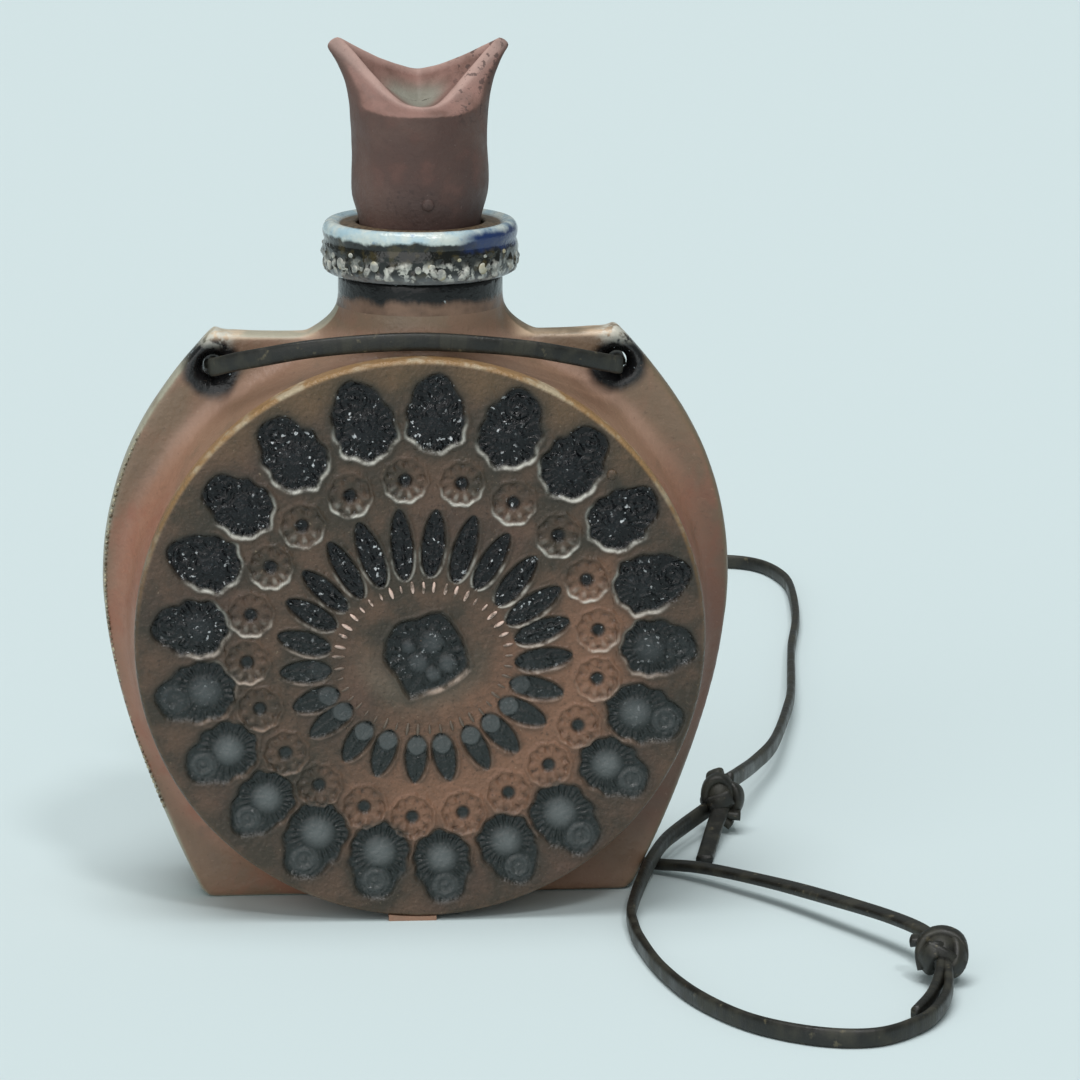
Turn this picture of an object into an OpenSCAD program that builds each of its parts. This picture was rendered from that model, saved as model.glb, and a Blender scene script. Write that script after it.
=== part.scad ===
// Stoneware pilgrim flask with a pinched stopper and a knotted leather lace.
// The flask faces -Y, stands on z = 0 and is symmetric about x = 0.

/* [Body] */
// How far the body reaches past the face slab at its widest
side_reach = 8.1; // [6:0.1:14]
// Height of the widest place above the slab's centre
widest_above = 9.8; // [2:0.1:16]
// Half width of the base
base_half_w = 53.8; // [46:0.5:62]
// Half width at the shoulder tips
shoulder_half_w = 50.6; // [48:0.5:54]
// Height of the shoulder tips above the slab's top
shoulder_rise = 3; // [2.6:0.1:7]
// How far the shoulder line dips between tip and neck
shoulder_dip = 0.8; // [0:0.1:3]
// Half thickness of the body at its edge
edge_half_t = 4.6; // [3.5:0.1:7]
// Width of the rounded edge
edge_round = 1.8; // [0.8:0.1:3]
// Width of the steep part of the drum's side, under the face slab
root_w = 2.9; // [2:0.1:4]
// Width of the hollow curve between that part and the edge
cove_w = 6; // [4:0.1:6]
// Thickness of the drum's wall
wall_t = 6; // [4:0.25:9]

/* [Face slabs] */
// Radius of the round face slabs
disc_r = 70.1; // [66:0.1:78]
// Thickness of a face slab
disc_t = 6; // [4.5:0.25:8]
// Distance from the middle of the flask to the outer face
face_depth = 29; // [27:0.5:36]
// Gap between a slab's lowest point and the floor
disc_lift = 1.1; // [0.8:0.1:1.4]
// How far the slab stands proud of the wall behind it
disc_lip = 1.5; // [0.8:0.1:3]
// Rounding of the slab's rim
rim_round = 1.5; // [0.8:0.1:2]

/* [Stamped ornament] */
// Depth of the stamped marks
stamp_depth = 0.9; // [0.4:0.1:1.5]
// Number of big stamps, and of rosettes
stamp_n = 21; // [15:1:22]
// Turn of the first stamp from the top, to the left
stamp_turn = -3.5; // [-9:0.5:9]
// Radius of a big six-sided stamp
cell_r = 8.2; // [6:0.1:8.4]
// Radius of the round boss at a stamp's outer end
boss_r = 3.5; // [2:0.1:4.5]
// Clear band between the bosses and the slab's edge
outer_band = 2.2; // [1.8:0.1:4]
// Outer radius of a rosette
rosette_r = 5.6; // [4:0.1:6]
// Width of the rosette's groove
rosette_groove = 1.3; // [0.8:0.1:2]
// Number of leaf petals
petal_n = 24; // [16:1:26]
// Length of a petal
petal_l = 14.5; // [10:0.5:16]
// Width of a petal
petal_w = 5.2; // [3:0.1:5.5]
// Number of fine ticks
tick_n = 40; // [24:1:48]
// Length of a tick
tick_l = 2.6; // [1:0.1:3]
// Width of a tick
tick_w = 0.8; // [0.5:0.1:1.2]
// Radius of a lobe of the centre flower
lobe_r = 4.4; // [3:0.1:5]
// Number of lobes of the centre flower
lobe_n = 5; // [4:1:7]

/* [Neck and collar] */
// Sideways offset of the hand-set neck
neck_x = 1.4; // [-3:0.1:3]
// Outer radius of the neck
neck_r = 20.4; // [19:0.1:21]
// Height of the neck above the shoulders, up to the collar
neck_h = 15; // [13:0.5:22]
// Length of the flare at the neck's foot
flare_h = 10; // [7:0.5:12]
// How far the flare reaches sideways past the neck
flare_side = 9.6; // [6:0.1:12]
// Radius of the passage through neck and collar
bore_r = 13.2; // [11:0.1:14]
// Outer radius of the collar
collar_r = 24.2; // [22.5:0.1:27]
// Height of the collar
collar_h = 13; // [10:0.5:16]
// Depth of the mouth that takes the stopper's foot
mouth_h = 5; // [3.5:0.1:6]

/* [Stopper] */
// Outer radius of the stopper
stopper_r = 16.7; // [15.5:0.1:18]
// Radius of the stopper's foot
foot_r = 15; // [14:0.1:15.5]
// Height of the stopper above the ledge in the mouth, to the horn tips
stopper_h = 49.6; // [44:0.5:56]
// Distance from the axis to a horn tip
horn_reach = 20.8; // [18:0.1:24]
// Height of the front lip above the ledge
front_lip_h = 33.4; // [28:0.5:36]
// Height of the back lip above the ledge
back_lip_h = 40; // [34:0.5:42]
// Half distance between the pinched lips
pinch_half = 12.5; // [9:0.5:14]
// Thickness of the pinched lips
lip_t = 4.2; // [3:0.1:5]
// Depth of the dish between the lips
dish_h = 4; // [2:0.5:8]
// Radius of the plug under the grip
plug_r = 8.5; // [6:0.1:9.5]
// Length of the cork sleeve
cork_h = 21; // [14:0.5:26]
// How far the plug stands out under the cork
plug_out = 1.5; // [0.5:0.1:4]
// Clearance of the cork in the bore, and of the plug in the cork
cork_gap = 0.08; // [0.03:0.01:0.1]
// Gap between the grip's foot and the ledge it comes down to
seat_gap = 0.35; // [0.2:0.05:0.8]

/* [Lug holes and feet] */
// Distance of a lug hole inside the shoulder tip
lug_inset = 0.6; // [0:0.1:2]
// Depth of a lug hole's centre below the shoulder tip
lug_drop = 8.7; // [7.5:0.1:10]
// Radius of a lug hole
lug_r = 3.9; // [3.4:0.1:4.2]
// Length of a foot pad under a face slab
pad_l = 11.8; // [8:0.5:20]
// Width of a foot pad
pad_w = 5; // [3:0.25:5.5]
// Height of a foot pad's ends
pad_h = 2.4; // [2:0.1:3.5]
// Sideways offset of the foot pads
pad_x = -2.4; // [-5:0.1:5]

/* [Lace] */
// Width of the flat lace
lace_w = 4.4; // [3.5:0.1:5]
// Thickness of the flat lace
lace_t = 2.4; // [1.8:0.1:2.6]
// Radius of a knot's loops
knot_r = 3.9; // [3.4:0.1:4]
// Length of the upright knot between its loops
knot_a_spread = 6.6; // [5:0.1:8]
// Length of the lying knot between its loops
knot_b_spread = 9; // [7:0.1:11]

/* [Hidden] */

tiny = 0.01;
fine = 72;

// Places that follow from the face slab.
disc_z = disc_r + disc_lift;
body_half_w = disc_r + side_reach;
widest_z = disc_z + widest_above;
shoulder_z = disc_z + disc_r + shoulder_rise;
lug_x = shoulder_half_w - lug_inset;
lug_z = shoulder_z - lug_drop;

// Stations of the body, from the middle plane to the face slab.
drum_depth = face_depth - disc_t;
drum_r = disc_r - disc_lip;
cavity_r = drum_r - wall_t;
root_r = drum_r + root_w;
root_depth = drum_depth * 0.48;
cove_r = root_r + cove_w;

// Heights above the shoulders.
flare_reach = neck_r + flare_side;
flare_top_z = shoulder_z - shoulder_dip + flare_h;
neck_top_z = shoulder_z - shoulder_dip + neck_h;
collar_top_z = neck_top_z + collar_h;
ledge_z = collar_top_z - mouth_h;
cork_top_z = ledge_z;
cork_low_z = cork_top_z - cork_h;
grip_low_z = ledge_z + seat_gap;

// Rings of the ornament, from the slab's edge inwards.
boss_ring = disc_r - outer_band - boss_r;
cell_ring = boss_ring - boss_r - cell_r + 2.2;
rosette_ring = cell_ring - cell_r - rosette_r + 0.6;
petal_ring = rosette_ring - rosette_r - petal_l / 2 - 0.4;
tick_ring = petal_ring - petal_l / 2 - tick_l / 2 - 0.3;
flower_ring = lobe_r * 0.85;

clay = [0.52, 0.38, 0.30];
clay_dark = [0.30, 0.27, 0.25];
ash = [0.38, 0.35, 0.30];
glaze = [0.72, 0.78, 0.82];
mauve = [0.42, 0.31, 0.28];
cork_tan = [0.66, 0.52, 0.36];
leather = [0.17, 0.17, 0.14];

// Half width of the body's outline at height z.
function side_x(z) = z < widest_z
    ? body_half_w - (body_half_w - base_half_w) * pow((widest_z - z) / widest_z, 1.65)
    : body_half_w - (body_half_w - shoulder_half_w)
        * pow((z - widest_z) / (shoulder_z - widest_z), 2.2);

// Height of the shoulder line at distance x from the middle.
function shoulder_line(x) = shoulder_z
    - shoulder_dip * sin(90 * min(1, (shoulder_half_w - x) / (shoulder_half_w - flare_reach)));

// The right half of the outline, from the base's middle up to the neck.
// Each point is [x, z, how far its edge is rounded].
low_sides = 11;
high_sides = 10;
base_points = [for (k = [0:4]) [(base_half_w - 1) * k / 4, 0, 0]];
low_points = [for (k = [0:low_sides - 1])
    let (z = 1 + (widest_z - 1) * k / low_sides) [side_x(z), z, 1]];
high_points = [for (k = [0:high_sides])
    let (z = widest_z + (shoulder_z - widest_z) * k / high_sides) [side_x(z), z, 1]];
top_points = [for (f = [0.93, 0.8, 0.65, 0.5, 0.35, 0.2])
    [shoulder_half_w * f, shoulder_line(shoulder_half_w * f), 1]];
half_outline = concat(base_points, low_points, high_points, top_points);
outline = concat(half_outline, [[0, shoulder_line(0), 1]],
    [for (k = [len(half_outline) - 1:-1:1])
        [-half_outline[k][0], half_outline[k][1], half_outline[k][2]]]);

// Depth of the clay surface at distance r from the drum's axis.
function cove(r) = r >= cove_r ? edge_half_t
    : r >= root_r
        ? edge_half_t + (root_depth - edge_half_t)
            * (1 - sqrt(1 - pow((cove_r - r) / (cove_r - root_r), 2)))
        : root_depth + (drum_depth - root_depth) * (root_r - r) / (root_r - drum_r);

// Radius of the drum's outside at a depth: the cove read the other way.
function cove_radius(d) = d >= root_depth
    ? root_r - (root_r - drum_r) * (d - root_depth) / (drum_depth - root_depth)
    : cove_r - (cove_r - root_r) * sqrt(1 - pow(1 - (max(d, edge_half_t) - edge_half_t)
        / (root_depth - edge_half_t), 2));

// One ring of the body's skin at stage k, as [radius, depth] for an outline point.
edge_in = [0, 0.12, 0.45, 1];
edge_deep = [0, 0.55, 0.86, 1];
face_share = [0.62, 0.38, 0.22, 0.12, 0.06, 0];
function reach(p) = norm([p[0], p[1] - disc_z]);
function corner_in(p) = p[2] > 0 ? edge_round : 0.5;
function skin(p, k) =
    let (rho = reach(p), corner = rho - corner_in(p), deep = cove(corner))
    k < 3 ? [rho - edge_in[k] * edge_round * p[2], edge_deep[k] * deep]
    : k == 3 ? [corner, deep]
    : let (r = drum_r + (corner - drum_r) * face_share[k - 4])
        [r, k == 9 ? drum_depth : cove(r)];

// Closed skin from rings of equal size, each a list of points that runs
// counterclockwise seen from the last ring.
// Both ends close with a fan of triangles round the ring's own middle.
function middle(ring) = [for (c = [0:2])
    let (values = [for (p = ring) p[c]]) values * [for (p = ring) 1] / len(ring)];
module ring_skin(rings) {
    n = len(rings[0]);
    last = len(rings) - 1;
    low_tip = (last + 1) * n;
    high_tip = low_tip + 1;
    walls = [for (k = [0:last - 1]) for (i = [0:n - 1])
        let (a = k * n + i, b = k * n + (i + 1) % n) each [[a, b + n, b], [a, a + n, b + n]]];
    low_fan = [for (i = [0:n - 1]) [low_tip, i, (i + 1) % n]];
    high_fan = [for (i = [0:n - 1]) [high_tip, last * n + (i + 1) % n, last * n + i]];
    polyhedron(concat([for (ring = rings) each ring],
        [middle(rings[0]), middle(rings[last])]), concat(low_fan, walls, high_fan));
}

// The outside of one half of the body; side is -1 in front, 1 behind.
module half_skin(side) {
    points = side < 0 ? outline : [for (k = [len(outline) - 1:-1:0]) outline[k]];
    ring_skin([for (k = [0:9]) [for (p = points)
        let (s = skin(p, k), u = [p[0], p[1] - disc_z] / reach(p))
        [u[0] * s[0], side * s[1], disc_z + u[1] * s[0]]]]);
}

module along_y(r, y0, y1, sides = fine) {
    translate([0, y0, 0]) rotate([-90, 0, 0]) cylinder(r = r, h = y1 - y0, $fn = sides);
}

module half_shell(side) {
    difference() {
        half_skin(side);
        translate([0, 0, disc_z]) along_y(cavity_r, -face_depth, face_depth);
        translate([neck_x, 0, disc_z]) cylinder(r = bore_r, h = shoulder_z, $fn = fine);
        for (x = [-lug_x, lug_x])
            translate([x, 0, lug_z]) along_y(lug_r, -face_depth, face_depth);
    }
}

module front_shell() {
    color(clay) half_shell(-1);
}

module back_shell() {
    color(clay) half_shell(1);
}

// A round slab with a rounded rim; its outer face looks along +Z at z = 0.
module slab(relief) {
    rotate_extrude($fn = fine) polygon(concat(
        [[0, -disc_t], [disc_r - 0.6, -disc_t], [disc_r, -disc_t + 0.8]],
        [for (a = [0:30:90]) [disc_r - rim_round + rim_round * cos(a),
            -rim_round + rim_round * sin(a)]],
        [[cell_ring + cell_r + boss_r + 2, 0], [cell_ring + cell_r + boss_r + 2, -relief],
            [0, -relief]]));
}

module leaf(l, w) {
    half = l / 2;
    bow = (half * half + w * w / 4) / w;
    intersection() {
        translate([bow - w / 2, 0]) circle(r = bow, $fn = 48);
        translate([w / 2 - bow, 0]) circle(r = bow, $fn = 48);
    }
}

module ring_of(n, r, turn = 0) {
    for (k = [0:n - 1]) rotate(turn + 360 * k / n) translate([0, r]) children();
}

module stamps() {
    ring_of(stamp_n, cell_ring, stamp_turn) circle(r = cell_r, $fn = 6);
    ring_of(stamp_n, boss_ring, stamp_turn) circle(r = boss_r, $fn = 20);
    ring_of(stamp_n, rosette_ring, stamp_turn + 180 / stamp_n) difference() {
        circle(r = rosette_r, $fn = 24);
        difference() {
            circle(r = rosette_r - rosette_groove, $fn = 24);
            circle(r = rosette_groove, $fn = 16);
        }
    }
    ring_of(petal_n, petal_ring) leaf(petal_l, petal_w);
    ring_of(tick_n, tick_ring) square([tick_w, tick_l], center = true);
    ring_of(lobe_n, flower_ring) circle(r = lobe_r, $fn = 24);
}

module front_medallion() {
    field_r = cell_ring + cell_r + boss_r + 2;
    color(ash) translate([0, -face_depth, disc_z]) rotate([90, 0, 0]) {
        slab(stamp_depth);
        translate([0, 0, -stamp_depth]) linear_extrude(stamp_depth) difference() {
            circle(r = field_r, $fn = fine);
            stamps();
        }
    }
}

module back_disc() {
    color(clay) translate([0, face_depth, disc_z]) rotate([-90, 0, 0]) slab(0);
}

// A small pad of clay that fills the gap between a slab's rim and the floor.
module foot_pad(side) {
    outer_y = face_depth - 0.6;
    difference() {
        translate([pad_x, side * (outer_y - pad_w / 2), 0])
            linear_extrude(pad_h) square([pad_l, pad_w], center = true);
        translate([0, 0, disc_z]) along_y(disc_r, -face_depth - 1, face_depth + 1, 720);
    }
}

module front_foot() {
    color(clay) foot_pad(-1);
}

module back_foot() {
    color(clay) foot_pad(1);
}

// The flared foot of the neck, laid over the drum's top.
flare_turns = 48;
flare_steps = 6;
flare_front = drum_depth - 0.6;
function flare_foot(a) =
    let (x = flare_reach * cos(a), y = flare_front * sin(a))
    [x, y, min(shoulder_line(flare_reach), disc_z + sqrt(pow(cove_radius(abs(y)), 2) - x * x))];
function flare_ring(k) = [for (i = [0:flare_turns - 1])
    let (a = 360 * i / flare_turns, t = k / flare_steps, foot = flare_foot(a),
        lean = pow(1 - t, 2.5), top = [neck_r * cos(a), neck_r * sin(a)])
    [top[0] + (foot[0] - top[0]) * lean, top[1] + (foot[1] - top[1]) * lean,
        foot[2] + (flare_top_z - foot[2]) * t]];
buried = [for (p = flare_ring(0)) [p[0], p[1], p[2] - 3]];

module neck() {
    color(clay_dark) difference() {
        translate([neck_x, 0, 0]) {
            ring_skin(concat([buried], [for (k = [0:flare_steps]) flare_ring(k)]));
            translate([0, 0, flare_top_z - tiny])
                cylinder(r = neck_r, h = neck_top_z - flare_top_z + tiny, $fn = fine);
        }
        half_skin(-1);
        half_skin(1);
        translate([neck_x, 0, disc_z]) cylinder(r = bore_r, h = neck_top_z, $fn = fine);
    }
}

// A rounded ring with a stepped mouth that the stopper's foot sits in.
module collar() {
    bulge = collar_h / 2;
    color(glaze) translate([neck_x, 0, neck_top_z]) rotate_extrude($fn = fine) polygon([
        [bore_r, 0], [collar_r - 2.2, 0], [collar_r - 0.6, 1], [collar_r, 3],
        [collar_r, bulge + 3], [collar_r - 0.7, collar_h - 0.9], [collar_r - 2, collar_h],
        [foot_r + 4.4, collar_h - 0.5], [foot_r + 1.8, collar_h - 2.4],
        [foot_r + 1, collar_h - mouth_h + 0.3], [foot_r + 0.9, collar_h - mouth_h],
        [bore_r, collar_h - mouth_h]]);
}

module cork_sleeve() {
    color(cork_tan) translate([neck_x, 0, cork_low_z]) difference() {
        cylinder(r = bore_r - cork_gap, h = cork_h, $fn = fine);
        translate([0, 0, -1]) cylinder(r = plug_r + cork_gap, h = cork_h + 2, $fn = fine);
    }
}

module stopper_plug() {
    color(mauve) translate([neck_x, 0, cork_low_z - plug_out])
        cylinder(r = plug_r, h = grip_low_z - cork_low_z + plug_out, $fn = fine);
}

// The pinched rim, seen from above: horns at the sides, lips before and behind.
grip_turns = 40;
waist_h = front_lip_h * 0.66;
function turn_of(i) = 360 * i / grip_turns;
function horn_share(a) = pow(abs(cos(a)), 5);
function lip_base(a) = (front_lip_h + back_lip_h) / 2
    + (back_lip_h - front_lip_h) / 2 * sin(a);
function horn_rise(a) = (stopper_h - lip_base(a)) * horn_share(a);
function rim_point(a) = [
    cos(a) * (stopper_r - 1.2 + (horn_reach - stopper_r + 1.2) * horn_share(a)),
    sin(a) * (pinch_half + lip_t / 2 - lip_t * horn_share(a)),
    lip_base(a) + horn_rise(a)];

// Rings of the grip: round below, drawn towards the rim above, then down into the dish.
function wall_ring(r, h) = [for (i = [0:grip_turns - 1])
    [r * cos(turn_of(i)), r * sin(turn_of(i)), h]];
function rim_ring(share, drop) = [for (i = [0:grip_turns - 1])
    let (p = rim_point(turn_of(i)),
        q = [stopper_r * cos(turn_of(i)), stopper_r * sin(turn_of(i)), waist_h])
    q + (p - q) * share - [0, 0, drop]];
function dish_ring(inset, share, fall, drop) = [for (i = [0:grip_turns - 1])
    let (a = turn_of(i), p = rim_point(a), r = norm([p[0], p[1]]),
        keep = (r - inset * (lip_t + 2.5 * horn_share(a))) / r * share)
    [p[0] * keep, p[1] * keep, p[2] - horn_rise(a) * fall - drop]];

module stopper_grip() {
    color(mauve) translate([neck_x, 0, grip_low_z]) ring_skin([
        wall_ring(foot_r, 0), wall_ring(foot_r + 0.2, mouth_h),
        wall_ring(stopper_r - 0.7, (mouth_h + waist_h) / 2), wall_ring(stopper_r, waist_h * 0.8),
        rim_ring(0, 0), rim_ring(0.35, 0.6), rim_ring(0.7, 0.6), rim_ring(1, 0.8),
        dish_ring(0.4, 1, 0, 0), dish_ring(1, 1, 0.35, 0.8), dish_ring(1, 0.84, 0.7, dish_h * 0.6),
        dish_ring(1, 0.58, 0.9, dish_h * 0.9), dish_ring(1, 0.3, 1, dish_h)]);
}

// The lace's route, in round numbers, and the way its wide side looks.
strap_route = [[-50, -1, 135.8], [-50, -6.5, 136], [-48.5, -10, 137], [-44, -13.2, 138.6],
    [-37, -16.6, 140.4], [-27, -20, 142.6], [-14, -22.3, 144.2], [0, -23.1, 144.8],
    [14, -22.4, 143.9], [27, -19.8, 142.1], [37, -16.6, 139.8], [44, -13.2, 137.8],
    [48.5, -10, 136.4], [50, -6.5, 135.5], [50, -1, 135.4]];
right_route = [[50, -1, 135.4], [50, 7, 135.4], [50.2, 14, 134.8], [50.5, 21, 132.4],
    [50.8, 27, 128], [51, 30.6, 121], [51.1, 31.8, 112], [51, 32.2, 98], [50.8, 32.8, 80],
    [50.5, 33.8, 60], [50.1, 36.2, 40], [49.8, 41, 22], [49.6, 49, 9.6], [49.8, 61, 4],
    [50.2, 78, 2.4], [51, 110, 2.3],
    [54, 160, 2.3], [59, 215, 2.3], [66, 270, 2.3], [76, 320, 2.3], [87, 348, 2.3],
    [101, 363, 2.3], [115, 365, 2.3], [124.5, 358, 2.3], [129.5, 342, 2.3],
    [130.5, 322, 2.3], [127.5, 282, 2.3], [121.5, 240, 2.8], [115, 182, 4.6],
    [110.5, 153, 5.8], [102.5, 113, 7], [95, 88.5, 8.2], [88.5, 68.5, 10.2],
    [84.6, 57, 11.6]];
left_route = [[-50, -1, 135.8], [-50, 7, 135.8], [-50.3, 14, 135.2], [-50.6, 21, 132.8],
    [-50.8, 27, 128.4], [-50.8, 30.6, 121.4], [-50.6, 31.8, 112], [-50, 32.2, 98],
    [-49.2, 32.8, 80], [-48.2, 33.6, 60], [-46.8, 35, 40], [-44.8, 37, 22],
    [-42, 39.4, 9.6], [-36, 41.6, 3.6], [-26, 43, 1.8],
    [-8, 43, 1.5], [14, 38, 1.5], [34, 29, 1.5], [50, 19, 1.7], [61.8, 10.2, 2.5],
    [73, 0.6, 3.9], [89.8, -20.5, 5.4], [104.6, -44.5, 7], [113.5, -60, 7.8],
    [119, -72, 8], [120.6, -80, 7.4]];
loop_route = [[79, 50, 6.4], [74.8, 42.4, 6], [69.2, 31, 5.8], [64.4, 18, 6.4],
    [60.6, 4, 6.9], [57, -10, 6.2], [53.6, -23, 4.2], [51.4, -35, 2.8], [51.2, -45, 2.4],
    [51.8, -58, 2.3], [55.2, -82, 2.3], [61.8, -105, 2.3], [72.4, -124, 2.3],
    [86.4, -135, 2.3], [99.6, -136.4, 2.3], [110.4, -128, 2.5], [116.6, -118, 3],
    [120, -108, 4], [121.2, -99.6, 5], [121.6, -94, 5.8]];
tail_a_route = [[81.8, 47.4, 7], [79.8, 41, 5], [77.4, 31, 3], [75.6, 23, 1.6],
    [74.4, 16.6, 1.5]];
tail_b_route = [[120.4, -94, 6], [118.8, -101, 5], [116.8, -108, 4.2], [114.6, -113.6, 3.4],
    [110.6, -121, 2.4]];
knot_a_place = [82.2, 51.5, 9.3];
knot_a_lean = [-46, 6, 0];
knot_b_place = [121.5, -86.9, 6.4];
knot_b_lean = [-90, 0, 8];
across = [1, 0, 0];
upright = [0, 0, 1];
away = [0, 1, 0];

function unit(v) = v / norm(v);
function heading(route, i) =
    unit(route[min(i + 1, len(route) - 1)] - route[max(i - 1, 0)]);
function wide_way(from, to, share, ahead) =
    let (w = from + (to - from) * share) unit(w - (w * ahead) * ahead);

// A flat lace swept along a route; its wide side turns between two of the points.
module lace(route, from, to, turn_start, turn_end) {
    cut = lace_t * 0.3;
    w = lace_w / 2;
    t = lace_t / 2;
    section = [[w, t - cut], [w - cut, t], [cut - w, t], [-w, t - cut], [-w, cut - t],
        [cut - w, -t], [w - cut, -t], [w, cut - t]];
    ring_skin([for (i = [0:len(route) - 1])
        let (ahead = heading(route, i),
            share = min(1, max(0, (i - turn_start) / (turn_end - turn_start))),
            wide = wide_way(from, to, share, ahead), thin = cross(ahead, wide))
        [for (s = section) route[i] + wide * s[0] + thin * s[1]]]);
}

module strap_lace() {
    color(leather) lace(strap_route, upright, upright, 0, 1);
}

module right_lace() {
    color(leather) lace(right_route, across, upright, 14, 19);
}

module left_lace() {
    color(leather) lace(left_route, across, away, 9, 14);
}

module hand_loop_lace() {
    color(leather) lace(loop_route, upright, upright, 0, 1);
}

// Two turns of lace pulled tight across each other, round a filled middle.
module knot_turns(place, lean, spread) {
    translate(place) rotate(lean) {
        for (end = [-1, 1]) translate([0, 0, end * spread / 2]) rotate([end * 24, end * 10, 0])
            rotate_extrude($fn = 32) translate([knot_r, 0]) circle(d = lace_w * 0.9, $fn = 16);
        cylinder(r = knot_r + 0.3, h = spread + 2.4, center = true, $fn = 32);
    }
}

module knot_a() {
    color(leather) {
        knot_turns(knot_a_place, knot_a_lean, knot_a_spread);
        lace(tail_a_route, across, across, 0, 1);
    }
}

module knot_b() {
    color(leather) {
        knot_turns(knot_b_place, knot_b_lean, knot_b_spread);
        lace(tail_b_route, upright, upright, 0, 1);
    }
}

front_shell();
back_shell();
front_medallion();
back_disc();
front_foot();
back_foot();
neck();
collar();
cork_sleeve();
stopper_plug();
stopper_grip();
strap_lace();
right_lace();
left_lace();
hand_loop_lace();
knot_a();
knot_b();
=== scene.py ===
"""Looks of a stoneware pilgrim flask: stamped face slab, collared neck, pinched stopper
and a flat leather lace. Lengths below are in millimetres; meshes are written in metres."""
import math

import bpy
import bmesh
import numpy as np
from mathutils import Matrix, Vector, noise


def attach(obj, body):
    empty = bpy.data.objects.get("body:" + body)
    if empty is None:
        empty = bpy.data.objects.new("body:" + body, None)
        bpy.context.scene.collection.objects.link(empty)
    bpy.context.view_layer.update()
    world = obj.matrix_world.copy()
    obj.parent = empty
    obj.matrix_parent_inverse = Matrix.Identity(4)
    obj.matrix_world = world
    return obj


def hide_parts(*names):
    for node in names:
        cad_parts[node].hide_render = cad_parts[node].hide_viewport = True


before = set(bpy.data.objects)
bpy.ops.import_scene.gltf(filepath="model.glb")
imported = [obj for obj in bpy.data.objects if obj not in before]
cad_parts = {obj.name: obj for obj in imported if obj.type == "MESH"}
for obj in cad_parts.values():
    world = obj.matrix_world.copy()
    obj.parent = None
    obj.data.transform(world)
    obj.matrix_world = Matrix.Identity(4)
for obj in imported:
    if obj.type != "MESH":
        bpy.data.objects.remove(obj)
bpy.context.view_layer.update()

MM = 0.001
TAU = 2 * math.pi

# ---- sizes shared with the solids ----
DISC_R = 70.1
DISC_Z = 71.2
FACE_Y = 29.0
DISC_T = 6.0
DRUM_DEPTH = FACE_Y - DISC_T
DRUM_R = 68.6
CAVITY_R = 62.6
ROOT_R = 71.5
ROOT_DEPTH = DRUM_DEPTH * 0.48
COVE_R = 77.5
HALF_W = 78.2
WIDEST_Z = 81.0
BASE_W = 53.8
SHOULDER_W = 50.6
SHOULDER_Z = 144.3
SHOULDER_DIP = 0.8
EDGE_T = 4.6
EDGE_ROUND = 1.8
NECK_X = 1.4
NECK_R = 20.4
NECK_TOP = 158.5
BORE_R = 13.2
COLLAR_R = 24.2
COLLAR_H = 13.0
LEDGE_Z = 166.5
GRIP_Z = LEDGE_Z + 0.35
LUG = ((-50.0, 135.6), (50.0, 135.6))
LACE_W = 4.4
LACE_T = 2.4


# ---- camera, and a maker for area lamps ----
def make_camera():
    data = bpy.data.cameras.new("camera")
    data.lens = 173.33
    data.sensor_width = 36
    data.clip_end = 20
    cam = bpy.data.objects.new("camera", data)
    bpy.context.collection.objects.link(cam)
    cam.location = Vector((-48.75, -1267.65, 366.94)) * MM
    aim = Vector((31, 0, 90)) * MM - cam.location
    cam.rotation_euler = aim.to_track_quat("-Z", "Y").to_euler()
    bpy.context.scene.camera = cam
    bpy.context.scene.view_settings.view_transform = "Standard"


def make_lamp(name, place, aim, size, power, colour=(1, 1, 1)):
    data = bpy.data.lights.new(name, "AREA")
    data.shape = "RECTANGLE"
    data.size, data.size_y = size
    data.energy = power
    data.color = colour
    lamp = bpy.data.objects.new(name, data)
    bpy.context.collection.objects.link(lamp)
    lamp.location = place
    lamp.rotation_euler = (Vector(aim) - Vector(place)).to_track_quat("-Z", "Y").to_euler()


make_camera()


# ---- mesh helpers ----
def mesh_piece(name, points, faces, smooth=True, sharp_deg=None):
    """A mesh object from points in millimetres."""
    mesh = bpy.data.meshes.new(name)
    mesh.from_pydata((np.asarray(points, dtype=float) * MM).tolist(), [],
                     faces if isinstance(faces, list) else faces.tolist())
    mesh.validate()
    if smooth:
        mesh.shade_smooth()
    if sharp_deg:
        mesh.set_sharp_from_angle(angle=math.radians(sharp_deg))
    piece = bpy.data.objects.new(name, mesh)
    bpy.context.collection.objects.link(piece)
    return piece


def grid_faces(rows, cols, wrap=True, start=0):
    """Quads between consecutive rings of a rows x cols grid of points."""
    r = np.arange(rows - 1)[:, None]
    c = np.arange(cols if wrap else cols - 1)[None, :]
    a = start + r * cols + c
    b = start + r * cols + (c + 1) % cols
    return np.stack([a, b, b + cols, a + cols], axis=-1).reshape(-1, 4)


def closed_rings(rings):
    """Points and faces of a closed skin through equal rings, with a pole at each end."""
    rows, cols = rings.shape[:2]
    points = np.vstack([rings.reshape(-1, 3), rings[0].mean(0), rings[-1].mean(0)])
    faces = grid_faces(rows, cols).tolist()
    low, high, last = rows * cols, rows * cols + 1, (rows - 1) * cols
    for i in range(cols):
        j = (i + 1) % cols
        faces.append([low, j, i])
        faces.append([high, last + i, last + j])
    return points, faces


def looped_rings(rings):
    """Points and faces of a ring-shaped skin whose last row joins its first."""
    rows, cols = rings.shape[:2]
    c = np.arange(cols)
    last = (rows - 1) * cols
    closing = np.stack([last + c, last + (c + 1) % cols, (c + 1) % cols, c], axis=-1)
    return rings.reshape(-1, 3), np.vstack([grid_faces(rows, cols), closing])


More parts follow.
